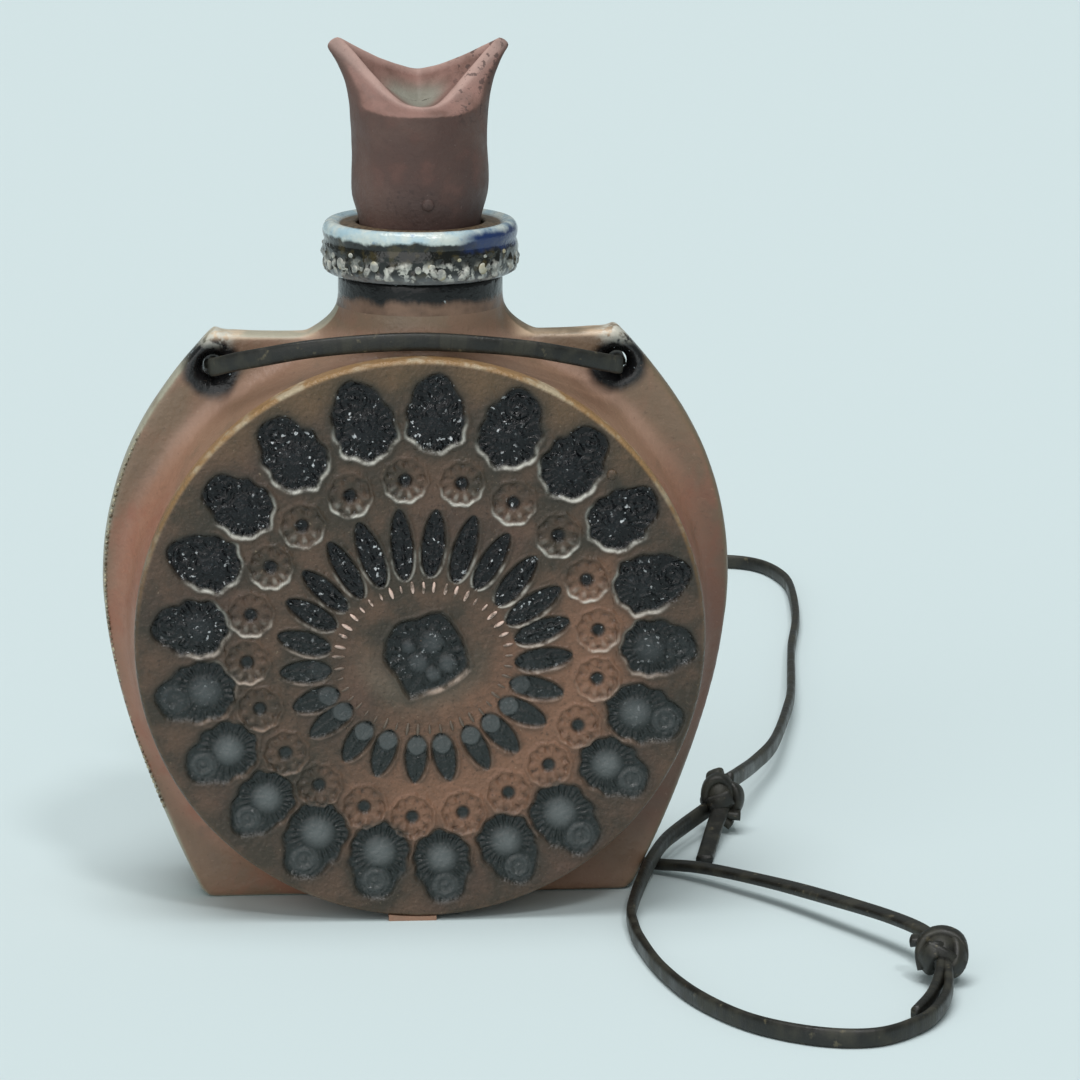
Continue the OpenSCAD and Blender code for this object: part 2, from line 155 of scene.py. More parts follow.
def face_outwards(piece):
    bm = bmesh.new()
    bm.from_mesh(piece.data)
    bmesh.ops.recalc_face_normals(bm, faces=bm.faces)
    bm.to_mesh(piece.data)
    bm.free()


def points_of(piece):
    found = np.empty(len(piece.data.vertices) * 3)
    piece.data.vertices.foreach_get("co", found)
    return found.reshape(-1, 3) / MM


def set_points(piece, points):
    piece.data.vertices.foreach_set("co", (points * MM).ravel())
    piece.data.update()


def set_value(piece, name, values):
    """Stores one number a point for the materials to read."""
    layer = piece.data.attributes.new(name, "FLOAT", "POINT")
    layer.data.foreach_set("value", np.ascontiguousarray(values, dtype=np.float32))


def bake_modifiers(piece):
    """Applies every modifier of a piece."""
    depsgraph = bpy.context.evaluated_depsgraph_get()
    mesh = bpy.data.meshes.new_from_object(piece.evaluated_get(depsgraph))
    piece.modifiers.clear()
    old = piece.data
    piece.data = mesh
    bpy.data.meshes.remove(old)


def cut(piece, cutter, operation="DIFFERENCE"):
    mod = piece.modifiers.new("cut", "BOOLEAN")
    mod.object = cutter
    mod.operation = operation
    mod.solver = "EXACT"
    bake_modifiers(piece)
    bpy.data.objects.remove(cutter)


def smooth_noise(points, scale, seed=0.0):
    """Soft noise from -1 to 1 at points, with features about `scale` mm across."""
    shift = Vector((seed * 3.7, seed * 1.3, -seed * 2.1))
    return np.array([noise.noise(Vector(p) / scale + shift) for p in points])


def smoothstep(low, high, x):
    t = np.clip((x - low) / (high - low), 0, 1)
    return t * t * (3 - 2 * t)


def catmull(points, step):
    """A smooth curve through points, sampled about every `step` mm."""
    p = np.asarray(points, dtype=float)
    p = np.vstack([2 * p[0] - p[1], p, 2 * p[-1] - p[-2]])
    out = []
    for a, b, c, d in zip(p, p[1:], p[2:], p[3:]):
        n = max(1, int(np.linalg.norm(c - b) / step))
        t = (np.arange(n) / n)[:, None]
        out.append(0.5 * (2 * b + (c - a) * t + (2 * a - 5 * b + 4 * c - d) * t ** 2
                          + (3 * b - a - 3 * c + d) * t ** 3))
    return np.vstack(out + [p[-2:-1]])


# ---- material helpers ----
class Nodes:
    """Short words for building a node material."""

    def __init__(self, name):
        self.material = bpy.data.materials.new(name)
        self.material.use_nodes = True
        self.tree = self.material.node_tree
        self.shader = self.tree.nodes["Principled BSDF"]
        self.coords = self.add("ShaderNodeTexCoord").outputs["Object"]

    def add(self, kind, **settings):
        node = self.tree.nodes.new(kind)
        for key, value in settings.items():
            setattr(node, key, value)
        return node

    def plug(self, value, socket):
        if isinstance(value, bpy.types.NodeSocket):
            self.tree.links.new(value, socket)
        elif value is not None:
            if socket.type == "RGBA" and len(value) == 3:
                value = (*value, 1)
            socket.default_value = value

    def noise(self, scale_mm, detail=3, rough=0.55, stretch=None, kind="Fac", distort=0):
        """Noise with features about scale_mm across, on the piece's own coordinates."""
        node = self.add("ShaderNodeTexNoise")
        node.inputs["Scale"].default_value = 1000 / scale_mm
        node.inputs["Detail"].default_value = detail
        node.inputs["Roughness"].default_value = rough
        node.inputs["Distortion"].default_value = distort
        coords = self.coords
        if stretch:
            mapping = self.add("ShaderNodeMapping")
            mapping.inputs["Scale"].default_value = stretch
            self.plug(coords, mapping.inputs["Vector"])
            coords = mapping.outputs["Vector"]
        self.plug(coords, node.inputs["Vector"])
        return node.outputs[kind]

    def spots(self, scale_mm, feature="F1", jitter=1.0):
        node = self.add("ShaderNodeTexVoronoi", feature=feature)
        node.inputs["Scale"].default_value = 1000 / scale_mm
        node.inputs["Randomness"].default_value = jitter
        self.plug(self.coords, node.inputs["Vector"])
        return node.outputs["Distance"]

    def value(self, name):
        return self.add("ShaderNodeAttribute", attribute_name=name).outputs["Fac"]

    def math(self, operation, a, b=None, clamp=False):
        node = self.add("ShaderNodeMath", operation=operation, use_clamp=clamp)
        self.plug(a, node.inputs[0])
        self.plug(b, node.inputs[1])
        return node.outputs[0]

    def ramp(self, value, low, high, out_low=0.0, out_high=1.0):
        node = self.add("ShaderNodeMapRange", interpolation_type="SMOOTHSTEP")
        for socket, v in zip(node.inputs[1:5], (low, high, out_low, out_high)):
            socket.default_value = v
        self.plug(value, node.inputs["Value"])
        return node.outputs["Result"]

    def mix(self, share, a, b):
        node = self.add("ShaderNodeMix", data_type="RGBA")
        self.plug(share, node.inputs["Factor"])
        self.plug(a, node.inputs[6])
        self.plug(b, node.inputs[7])
        return node.outputs[2]

    def axis(self, name):
        """Object coordinate X, Y or Z, in millimetres."""
        node = self.add("ShaderNodeSeparateXYZ")
        self.plug(self.coords, node.inputs[0])
        return self.math("MULTIPLY", node.outputs[name], 1000)

    def away_from_drum(self):
        """Distance from the drum's axis, in millimetres."""
        x, z = self.axis("X"), self.math("SUBTRACT", self.axis("Z"), DISC_Z)
        return self.math("SQRT", self.math("ADD", self.math("MULTIPLY", x, x),
                                           self.math("MULTIPLY", z, z)))

    def bump(self, height, depth_mm, strength=1.0, after=None):
        node = self.add("ShaderNodeBump")
        node.inputs["Strength"].default_value = strength
        node.inputs["Distance"].default_value = depth_mm * MM
        self.plug(height, node.inputs["Height"])
        self.plug(after, node.inputs["Normal"])
        return node.outputs["Normal"]

    def finish(self, colour=None, rough=None, normal=None, **fixed):
        self.plug(colour, self.shader.inputs["Base Color"])
        self.plug(rough, self.shader.inputs["Roughness"])
        self.plug(normal, self.shader.inputs["Normal"])
        for key, value in fixed.items():
            self.shader.inputs[key.replace("_", " ")].default_value = value
        return self.material


def rgb(r, g, b):
    """A colour from 0-255 screen values, as light values."""
    def lin(v):
        v /= 255
        return v / 12.92 if v < 0.04045 else ((v + 0.055) / 1.055) ** 2.4
    return (lin(r), lin(g), lin(b))


# ---- the lace, first ----
ACROSS, UPRIGHT, AWAY = np.eye(3)[0], np.eye(3)[2], np.eye(3)[1]
STRAP = [(-50, -1, 135.8), (-50, -6.5, 136), (-48.5, -10, 137), (-44, -13.2, 138.6),
         (-37, -16.6, 140.4), (-27, -20, 142.6), (-14, -22.3, 144.2), (0, -23.1, 144.8),
         (14, -22.4, 143.9), (27, -19.8, 142.1), (37, -16.6, 139.8), (44, -13.2, 137.8),
         (48.5, -10, 136.4), (50, -6.5, 135.5), (50, -1, 135.4)]
RIGHT = [(50, -1, 135.4), (50, 7, 135.4), (50.2, 14, 134.8), (50.5, 21, 132.4),
         (50.8, 27, 128), (51, 30.6, 121), (51.1, 31.8, 112), (51, 32.2, 98), (50.8, 32.8, 80),
         (50.5, 33.8, 60), (50.1, 36.2, 40), (49.8, 41, 22), (49.6, 49, 9.6), (49.8, 61, 4),
         (50.2, 78, 2.4), (51, 110, 2.3), (54, 160, 2.3), (59, 215, 2.3), (66, 270, 2.3),
         (76, 320, 2.3), (87, 348, 2.3), (101, 363, 2.3), (115, 365, 2.3), (124.5, 358, 2.3),
         (129.5, 342, 2.3), (130.5, 322, 2.3), (127.5, 282, 2.3), (121.5, 240, 2.8),
         (115, 182, 4.6), (110.5, 153, 5.8), (102.5, 113, 7), (95, 88.5, 8.2),
         (88.5, 68.5, 10.2), (84.6, 57, 11.6)]
LEFT = [(-50, -1, 135.8), (-50, 7, 135.8), (-50.3, 14, 135.2), (-50.6, 21, 132.8),
        (-50.8, 27, 128.4), (-50.8, 30.6, 121.4), (-50.6, 31.8, 112), (-50, 32.2, 98),
        (-49.2, 32.8, 80), (-48.2, 33.6, 60), (-46.8, 35, 40), (-44.8, 37, 22),
        (-42, 39.4, 9.6), (-36, 41.6, 3.6), (-26, 43, 1.8), (-8, 43, 1.5), (14, 38, 1.5),
        (34, 29, 1.5), (50, 19, 1.7), (61.8, 10.2, 2.5), (73, 0.6, 3.9), (89.8, -20.5, 5.4),
        (104.6, -44.5, 7), (113.5, -60, 7.8), (119, -72, 8), (120.6, -80, 7.4)]
LOOP = [(79, 50, 6.4), (74.8, 42.4, 6), (69.2, 31, 5.8), (64.4, 18, 6.4), (60.6, 4, 6.9),
        (57, -10, 6.2), (53.6, -23, 4.2), (51.4, -35, 2.8), (51.2, -45, 2.4), (51.8, -58, 2.3),
        (55.2, -82, 2.3), (61.8, -105, 2.3), (72.4, -124, 2.3), (86.4, -135, 2.3),
        (99.6, -136.4, 2.3), (110.4, -128, 2.5), (116.6, -118, 3), (120, -108, 4),
        (121.2, -99.6, 5), (121.6, -94, 5.8)]
TAIL_A = [(81.8, 47.4, 7), (79.8, 41, 5), (77.4, 31, 3), (75.6, 23, 1.6), (74.4, 16.6, 1.5)]
TAIL_B = [(120.4, -94, 6), (118.8, -101, 5), (116.8, -108, 4.2), (114.6, -113.6, 3.4),
          (110.6, -121, 2.4)]


def flat_section(sides=16, width=LACE_W, thick=LACE_T):
    """Corner points of the lace's cross section: a rectangle with well worn corners."""
    a = (np.arange(sides) + 0.5) / sides * TAU
    c, s = np.cos(a), np.sin(a)
    return np.stack([np.sign(c) * np.abs(c) ** 0.55 * width / 2,
                     np.sign(s) * np.abs(s) ** 0.7 * thick / 2], axis=-1)


def sweep(path, wide, section, swell=None):
    """Rings of a flat section along a path; `wide` is where its wide side points."""
    ahead = np.gradient(path, axis=0)
    ahead /= np.linalg.norm(ahead, axis=1)[:, None]
    wide = wide - (wide * ahead).sum(1)[:, None] * ahead
    wide /= np.linalg.norm(wide, axis=1)[:, None]
    thin = np.cross(ahead, wide)
    scale = np.ones(len(path)) if swell is None else swell
    return (path[:, None] + scale[:, None, None] * (wide[:, None] * section[None, :, :1]
                                                    + thin[:, None] * section[None, :, 1:]))


def lace_piece(name, route, start_way, end_way, turn, step=1.6, seed=0):
    """A length of lace. It turns from start_way to end_way between two route points."""
    path = catmull(route, step)
    spans = [np.argmin(np.linalg.norm(path - np.array(route[i]), axis=1)) for i in turn]
    share = smoothstep(spans[0], max(spans[1], spans[0] + 1), np.arange(len(path)))[:, None]
    wide = start_way * (1 - share) + end_way * share
    along = np.arange(len(path)) * step
    swell = 1 + 0.03 * np.sin(along / 17 + seed) + 0.02 * np.sin(along / 7.3 + 2 * seed)
    rings = sweep(path, wide, flat_section(), swell)
    points, faces = closed_rings(rings)
    piece = mesh_piece(name, points, faces)
    face_outwards(piece)
    run = np.repeat(along, rings.shape[1])
    set_value(piece, "run", np.append(run, [run[0], run[-1]]) * MM)
    return piece, path


def declare_lace(piece, path, node):
    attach(piece, "flask")
    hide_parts(node)
    steps = np.linalg.norm(np.diff(path, axis=0), axis=1)
    [tuple(p * MM) for p in path]


def knot_piece(name, place, axis, side, size, tail, tail_way, folds=(), middle=(0, 0, 0)):
    """An overhand knot pulled tight, with the lace's short tail, as one mesh.

    axis is the knot's long way and side its second way; size its half lengths.
    folds are outer turns of the lace, as points from the knot's middle.
    """
    axis, side = np.array(axis, float), np.array(side, float)
    axis /= np.linalg.norm(axis)
    side -= (side @ axis) * axis
    side /= np.linalg.norm(side)
    out = np.cross(axis, side)
    t = np.linspace(0.16, TAU - 0.16, 150) + math.pi
    local = np.stack([np.sin(t) + 2 * np.sin(2 * t), -np.cos(t) + 2 * np.cos(2 * t),
                      -np.sin(3 * t)], axis=-1) / (3.0, 3.0, 1.0)
    path = (local[:, :1] * size[1] * side + local[:, 1:2] * size[0] * axis
            + local[:, 2:] * size[2] * out)
    wide = np.cross(np.gradient(path, axis=0), path)
    rings = sweep(path + place, wide, flat_section(14, LACE_W * 1.04, LACE_T * 1.1))
    points, faces = closed_rings(rings)
    tail_path = catmull(tail, 1.4)
    rings = sweep(tail_path, np.tile(tail_way, (len(tail_path), 1)).astype(float),
                  flat_section(14))
    more, more_faces = closed_rings(rings)
    faces = faces + [[i + len(points) for i in f] for f in more_faces]
    points = np.vstack([points, more])
    for fold, wide in folds:
        fold_path = catmull(np.add(fold, place), 0.8)
        rings = sweep(fold_path, np.tile(wide, (len(fold_path), 1)).astype(float),
                      flat_section(14))
        more, more_faces = closed_rings(rings)
        faces = faces + [[i + len(points) for i in f] for f in more_faces]
        points = np.vstack([points, more])
    a, b = np.meshgrid(np.linspace(0.12, math.pi - 0.12, 12), np.arange(20) / 20 * TAU,
                       indexing="ij")
    core = (np.cos(a)[..., None] * axis * size[0] * 0.8
            + (np.sin(a) * np.cos(b))[..., None] * side * size[1] * 1.0
            + (np.sin(a) * np.sin(b))[..., None] * out * size[2] * 1.75) + place + middle
    more, more_faces = closed_rings(core)
    faces = faces + [[i + len(points) for i in f] for f in more_faces]
    points = np.vstack([points, more])
    piece = mesh_piece(name, points, faces)
    face_outwards(piece)
    set_value(piece, "run", points @ axis * MM)
    return piece


strap, strap_path = lace_piece("strap_lace_leather", STRAP, UPRIGHT, UPRIGHT, (0, 1))
right_lace, right_path = lace_piece("right_lace_leather", RIGHT, ACROSS, UPRIGHT, (14, 19), seed=1)
left_lace, left_path = lace_piece("left_lace_leather", LEFT, ACROSS, AWAY, (9, 14), seed=2)
hand_loop, loop_path = lace_piece("hand_loop_leather", LOOP, UPRIGHT, UPRIGHT, (0, 1), seed=3)
OVER, FACING = (0.15, 1, 0.1), (0.3, 0.1, 1)
FOLDS_A = (([(-3.6, -2.2, -3.8), (-4.6, -2.4, 0), (-3.9, -2.2, 3.6), (-1.2, -1.8, 5.2),
             (1.4, -1.6, 3.6), (2.2, -1.4, 0), (1.4, -1.8, -3)], OVER),
           ([(-4, -4.6, -1.6), (-1.2, -5.2, -0.6), (2, -4.6, 0.8)], FACING),
           ([(0.4, -3.4, -3.6), (2.4, -3.8, -4.2), (4.6, -4, -4.4)], OVER),
           ([(-0.6, -3.8, -4.6), (0.9, -4, -6), (2.2, -4.2, -7)], OVER))
FOLDS_B = (([(-4.8, -1, -3.2), (-5.4, 0, 0.6), (-3.9, 1.2, 4), (0.2, 1.8, 5.2), (4, 0.6, 3.8),
             (5, -1.2, 0.4), (4, -2.4, -2.6)], OVER),
           ([(-4.4, -3.6, 2.6), (-1.6, -5, 1.6), (1.6, -5.2, -0.2), (4, -4.2, -2)], FACING),
           ([(-3.4, 3, 2), (-5.2, 4, 2.4), (-6.8, 4.6, 2.2)], OVER))
knot_a = knot_piece("knot_a_tied", np.array((82.2, 51.5, 9.3)), (-1.5, 11, 10.5), (1, 0.1, 0),
                    (6.2, 4.4, 2.6), TAIL_A, ACROSS, FOLDS_A,
                    (-1.2, -0.8, 0.6))
knot_b = knot_piece("knot_b_tied", np.array((121.5, -86.9, 6.6)), (0.1, 1, 0), (1, 0, 0.1),
                    (7.2, 4.6, 2.6), TAIL_B, UPRIGHT, FOLDS_B,
                    (-0.3, 0, 0.8))
for knot, node in ((knot_a, "knot_a"), (knot_b, "knot_b")):
    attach(knot, "flask")
    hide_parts(node)
declare_lace(strap, strap_path, "strap_lace")
declare_lace(right_lace, right_path, "right_lace")
declare_lace(left_lace, left_path, "left_lace")
declare_lace(hand_loop, loop_path, "hand_loop_lace")


# ---- the clay body ----
def side_x(z):
    low = HALF_W - (HALF_W - BASE_W) * np.clip((WIDEST_Z - z) / WIDEST_Z, 0, 1) ** 1.65
    high = HALF_W - (HALF_W - SHOULDER_W) * np.clip(
        (z - WIDEST_Z) / (SHOULDER_Z - WIDEST_Z), 0, 1) ** 2.2
    return np.where(z < WIDEST_Z, low, high)


def shoulder_line(x):
    share = np.minimum(1, (SHOULDER_W - x) / (SHOULDER_W - 30))
    return SHOULDER_Z - SHOULDER_DIP * np.sin(share * math.pi / 2)


def body_outline():
    """The body's outline, counterclockwise from the base's middle, with edge rounding."""
    base = [(x, 0.0, 0.15) for x in np.linspace(0, BASE_W - 1.6, 26)]
    base += [(BASE_W - 0.9, 0.15, 0.4), (BASE_W - 0.35, 0.7, 0.8)]
    low = [(float(side_x(z)), z, 1.0) for z in np.linspace(1.6, WIDEST_Z, 64)]
    high = [(float(side_x(z)), z, 1.0) for z in np.linspace(WIDEST_Z + 1.2, 143.4, 52)]
    tip = [(50.7, 144.1, 1.0), (50.1, 144.7, 1.0), (49.2, 144.9, 1.0)]
    top = [(x, float(shoulder_line(x)), 1.0) for x in np.linspace(48, 1.5, 32)]
    half = base + low + high + tip + top
    return np.array(half + [(0, float(shoulder_line(0)), 1.0)]
                    + [(-x, z, f) for x, z, f in reversed(half[1:])])


def cove(r):
    """Depth of the clay's surface at distance r from the drum's axis."""
    t = np.clip((COVE_R - r) / (COVE_R - ROOT_R), 0, 1)
    hollow = EDGE_T + (ROOT_DEPTH - EDGE_T) * (1 - np.sqrt(1 - t ** 2))
    steep = ROOT_DEPTH + (DRUM_DEPTH - ROOT_DEPTH) * (ROOT_R - r) / (ROOT_R - DRUM_R)
    return np.where(r >= COVE_R, EDGE_T, np.where(r >= ROOT_R, hollow, steep))


def cove_radius(d):
    d = np.maximum(d, EDGE_T)
    steep = ROOT_R - (ROOT_R - DRUM_R) * (d - ROOT_DEPTH) / (DRUM_DEPTH - ROOT_DEPTH)
    t = np.clip((d - EDGE_T) / (ROOT_DEPTH - EDGE_T), 0, 1)
    hollow = COVE_R - (COVE_R - ROOT_R) * np.sqrt(1 - (1 - t) ** 2)
    return np.where(d >= ROOT_DEPTH, steep, hollow)


def body_rings():
    """Rings of the whole body, from its front face round the edge to its back face."""
    outline = body_outline()
    arm = outline[:, :2] - (0, DISC_Z)
    rho = np.linalg.norm(arm, axis=1)
    way = arm / rho[:, None]
    corner = rho - EDGE_ROUND * np.maximum(outline[:, 2], 0.25)
    stages = [(rho, 0 * rho)]
    for a in np.radians((30, 60, 90)):
        stages.append((corner + (rho - corner) * math.cos(a),
                       cove(corner) * (0.6 + 0.4 * math.sin(a))))
    for share in (0.84, 0.7, 0.57, 0.45, 0.35, 0.26, 0.18, 0.12, 0.07, 0.03, 0.0):
        r = DRUM_R + (corner - DRUM_R) * share
        stages.append((r, np.minimum(cove(r), DRUM_DEPTH)))
    front = [np.stack([way[:, 0] * r, -d, DISC_Z + way[:, 1] * r], axis=-1)
             for r, d in reversed(stages)]
    back = [ring * (1, -1, 1) for ring in reversed(front[:-1])]
    return np.array(front + back)


def neck_rings():
    """The neck with its flared foot, sunk a little into the shoulders."""
    a = np.arange(120) / 120 * TAU
    x, y = 30 * np.cos(a), 22.4 * np.sin(a)
    foot_z = np.minimum(shoulder_line(30),
                        DISC_Z + np.sqrt(cove_radius(np.abs(y)) ** 2 - x ** 2))
    top = np.stack([NECK_R * np.cos(a), NECK_R * np.sin(a)], axis=-1)
    foot = np.stack([x, y], axis=-1)
    rings = [np.column_stack([foot * 0.98, foot_z - 3])]
    for t in np.linspace(0, 1, 16):
        rings.append(np.column_stack([top + (foot - top) * (1 - t) ** 2.5,
                                      foot_z + (153.5 - foot_z) * t]))
    rings.append(np.column_stack([top, np.full(120, NECK_TOP)]))
    return np.array(rings) + (NECK_X, 0, 0)


def turned(name, profile, centre, axis="Z", sides=96):
    """A closed lathe piece. profile is (radius, height) pairs from its lower pole up."""
    a = np.arange(sides) / sides * TAU
    rings = np.array([np.column_stack([r * np.cos(a), r * np.sin(a), np.full(sides, h)])
                      for r, h in profile])
    points, faces = closed_rings(rings)
    if axis == "Y":
        points = points[:, [0, 2, 1]] * (1, 1, -1)
    piece = mesh_piece(name, points + centre, faces)
    face_outwards(piece)
    return piece


def clay_body():
    """Body and neck grown together, hollow, with lug holes: one skin of even small faces."""
    body = mesh_piece("clay_body", *closed_rings(body_rings()))
    face_outwards(body)
    neck = mesh_piece("neck_blank", *closed_rings(neck_rings()))
    face_outwards(neck)
    cut(body, neck, "UNION")
    cut(body, turned("drum_core", [(CAVITY_R, -23), (CAVITY_R, 23)], (0, 0, DISC_Z), "Y", 160))
    cut(body, turned("bore_core", [(BORE_R, 100), (BORE_R, 170)], (NECK_X, 0, 0)))
    for x, z in LUG:
        waist = [(6.2, -8), (5.4, -5.4), (4.2, -4.0), (3.0, -2.4), (2.7, -1), (2.7, 1),
                 (3.0, 2.4), (4.2, 4.0), (5.4, 5.4), (6.2, 8)]
        cut(body, turned("lug_core", waist, (x, 0, z), "Y", 40))
    mod = body.modifiers.new("even", "REMESH")
    mod.mode = "VOXEL"
    mod.voxel_size = 0.85 * MM
    soften = body.modifiers.new("soften", "SMOOTH")
    soften.factor = 0.5
    soften.iterations = 6
    bake_modifiers(body)
    return body


def part_of(source, name, planes):
    """The part of a closed mesh behind each cutting plane (point, normal), closed again."""
    bm = bmesh.new()
    bm.from_mesh(source.data)
    for point, normal in planes:
        cutting = bmesh.ops.bisect_plane(
            bm, geom=bm.verts[:] + bm.edges[:] + bm.faces[:], dist=1e-7,
            plane_co=Vector(point) * MM, plane_no=normal, clear_outer=True)
        rim = [e for e in cutting["geom_cut"] if isinstance(e, bmesh.types.BMEdge)]
        bmesh.ops.triangle_fill(bm, edges=rim, use_beauty=True, normal=normal)
    mesh = bpy.data.meshes.new(name)
    bm.to_mesh(mesh)
    bm.free()
    mesh.shade_smooth()
    mesh.set_sharp_from_angle(angle=math.radians(52))
    piece = bpy.data.objects.new(name, mesh)
    bpy.context.collection.objects.link(piece)
    return piece


def roughen(piece, parts, seed=0.0):
    """Moves points along their normals by soft noise: parts are (scale mm, depth mm)."""
    points = points_of(piece)
    normals = np.empty(len(points) * 3)
    piece.data.vertices.foreach_get("normal", normals)
    lift = sum(depth * smooth_noise(points, scale, seed + scale) for scale, depth in parts)
    set_points(piece, points + normals.reshape(-1, 3) * lift[:, None])


def near_lugs(points):
    return np.min([np.hypot(points[:, 0] - x, points[:, 2] - z) for x, z in LUG], axis=0)


body = clay_body()
roughen(body, ((26, 0.22), (7, 0.06)), seed=2)
front_shell = part_of(body, "front_shell_clay", (((0, 0, 0), (0, 1, 0)),
                                                 ((0, 0, 150.5), (0, 0, 1))))
back_shell = part_of(body, "back_shell_clay", (((0, 0, 0), (0, -1, 0)),
                                               ((0, 0, 150.5), (0, 0, 1))))
neck = part_of(body, "neck_clay", (((0, 0, 150.5), (0, 0, -1)),))
bpy.data.objects.remove(body)
for shell, node in ((front_shell, "front_shell"), (back_shell, "back_shell"), (neck, "neck")):
    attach(shell, "flask")
    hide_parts(node)
    set_value(shell, "lug", near_lugs(points_of(shell)) * MM)


# ---- the stamped face slab ----
STAMP_TURNS = (3, 22, 40, 58, 76, 93, 110, 126, 143, 159, 176, 192, 209, 225, 241, 258, 274,
               291, 308, 326, 345)
STAMP_RING = (1.0, 0, 57.2, 56.8)
ROSETTE_RING = (0.8, -2.0, 43.2, 42.4)
PETAL_TIPS = (0.9, -1.4, 36.4, 34.8)
PETAL_ROOTS = (0.6, -3.9, 22.6, 19.6)
TICK_RING = (0.6, -4.4, 21.0, 18.0)
FLOWER = (1.2, -3.3)
PETALS = 24
FACE_BASE = 28.7


def inside(distance, wall=0.6):
    """1 within an outline, 0 outside it; distance is negative within."""
    return 1 - smoothstep(-wall, wall * 0.3, distance)


def line(distance, width):
    return np.exp(-(distance / width) ** 2)


def joined(a, b, soft):
    """Distance to two shapes grown together with a soft waist."""
    h = np.clip(0.5 + 0.5 * (b - a) / soft, 0, 1)
    return b * (1 - h) + a * h - soft * h * (1 - h)


def on_ring(ring, turn):
    """Place on a flattened ring (centre x, centre z, half width, half height)."""
    a = np.radians(turn)
    return ring[0] + ring[2] * np.sin(a), ring[1] + ring[3] * np.cos(a)


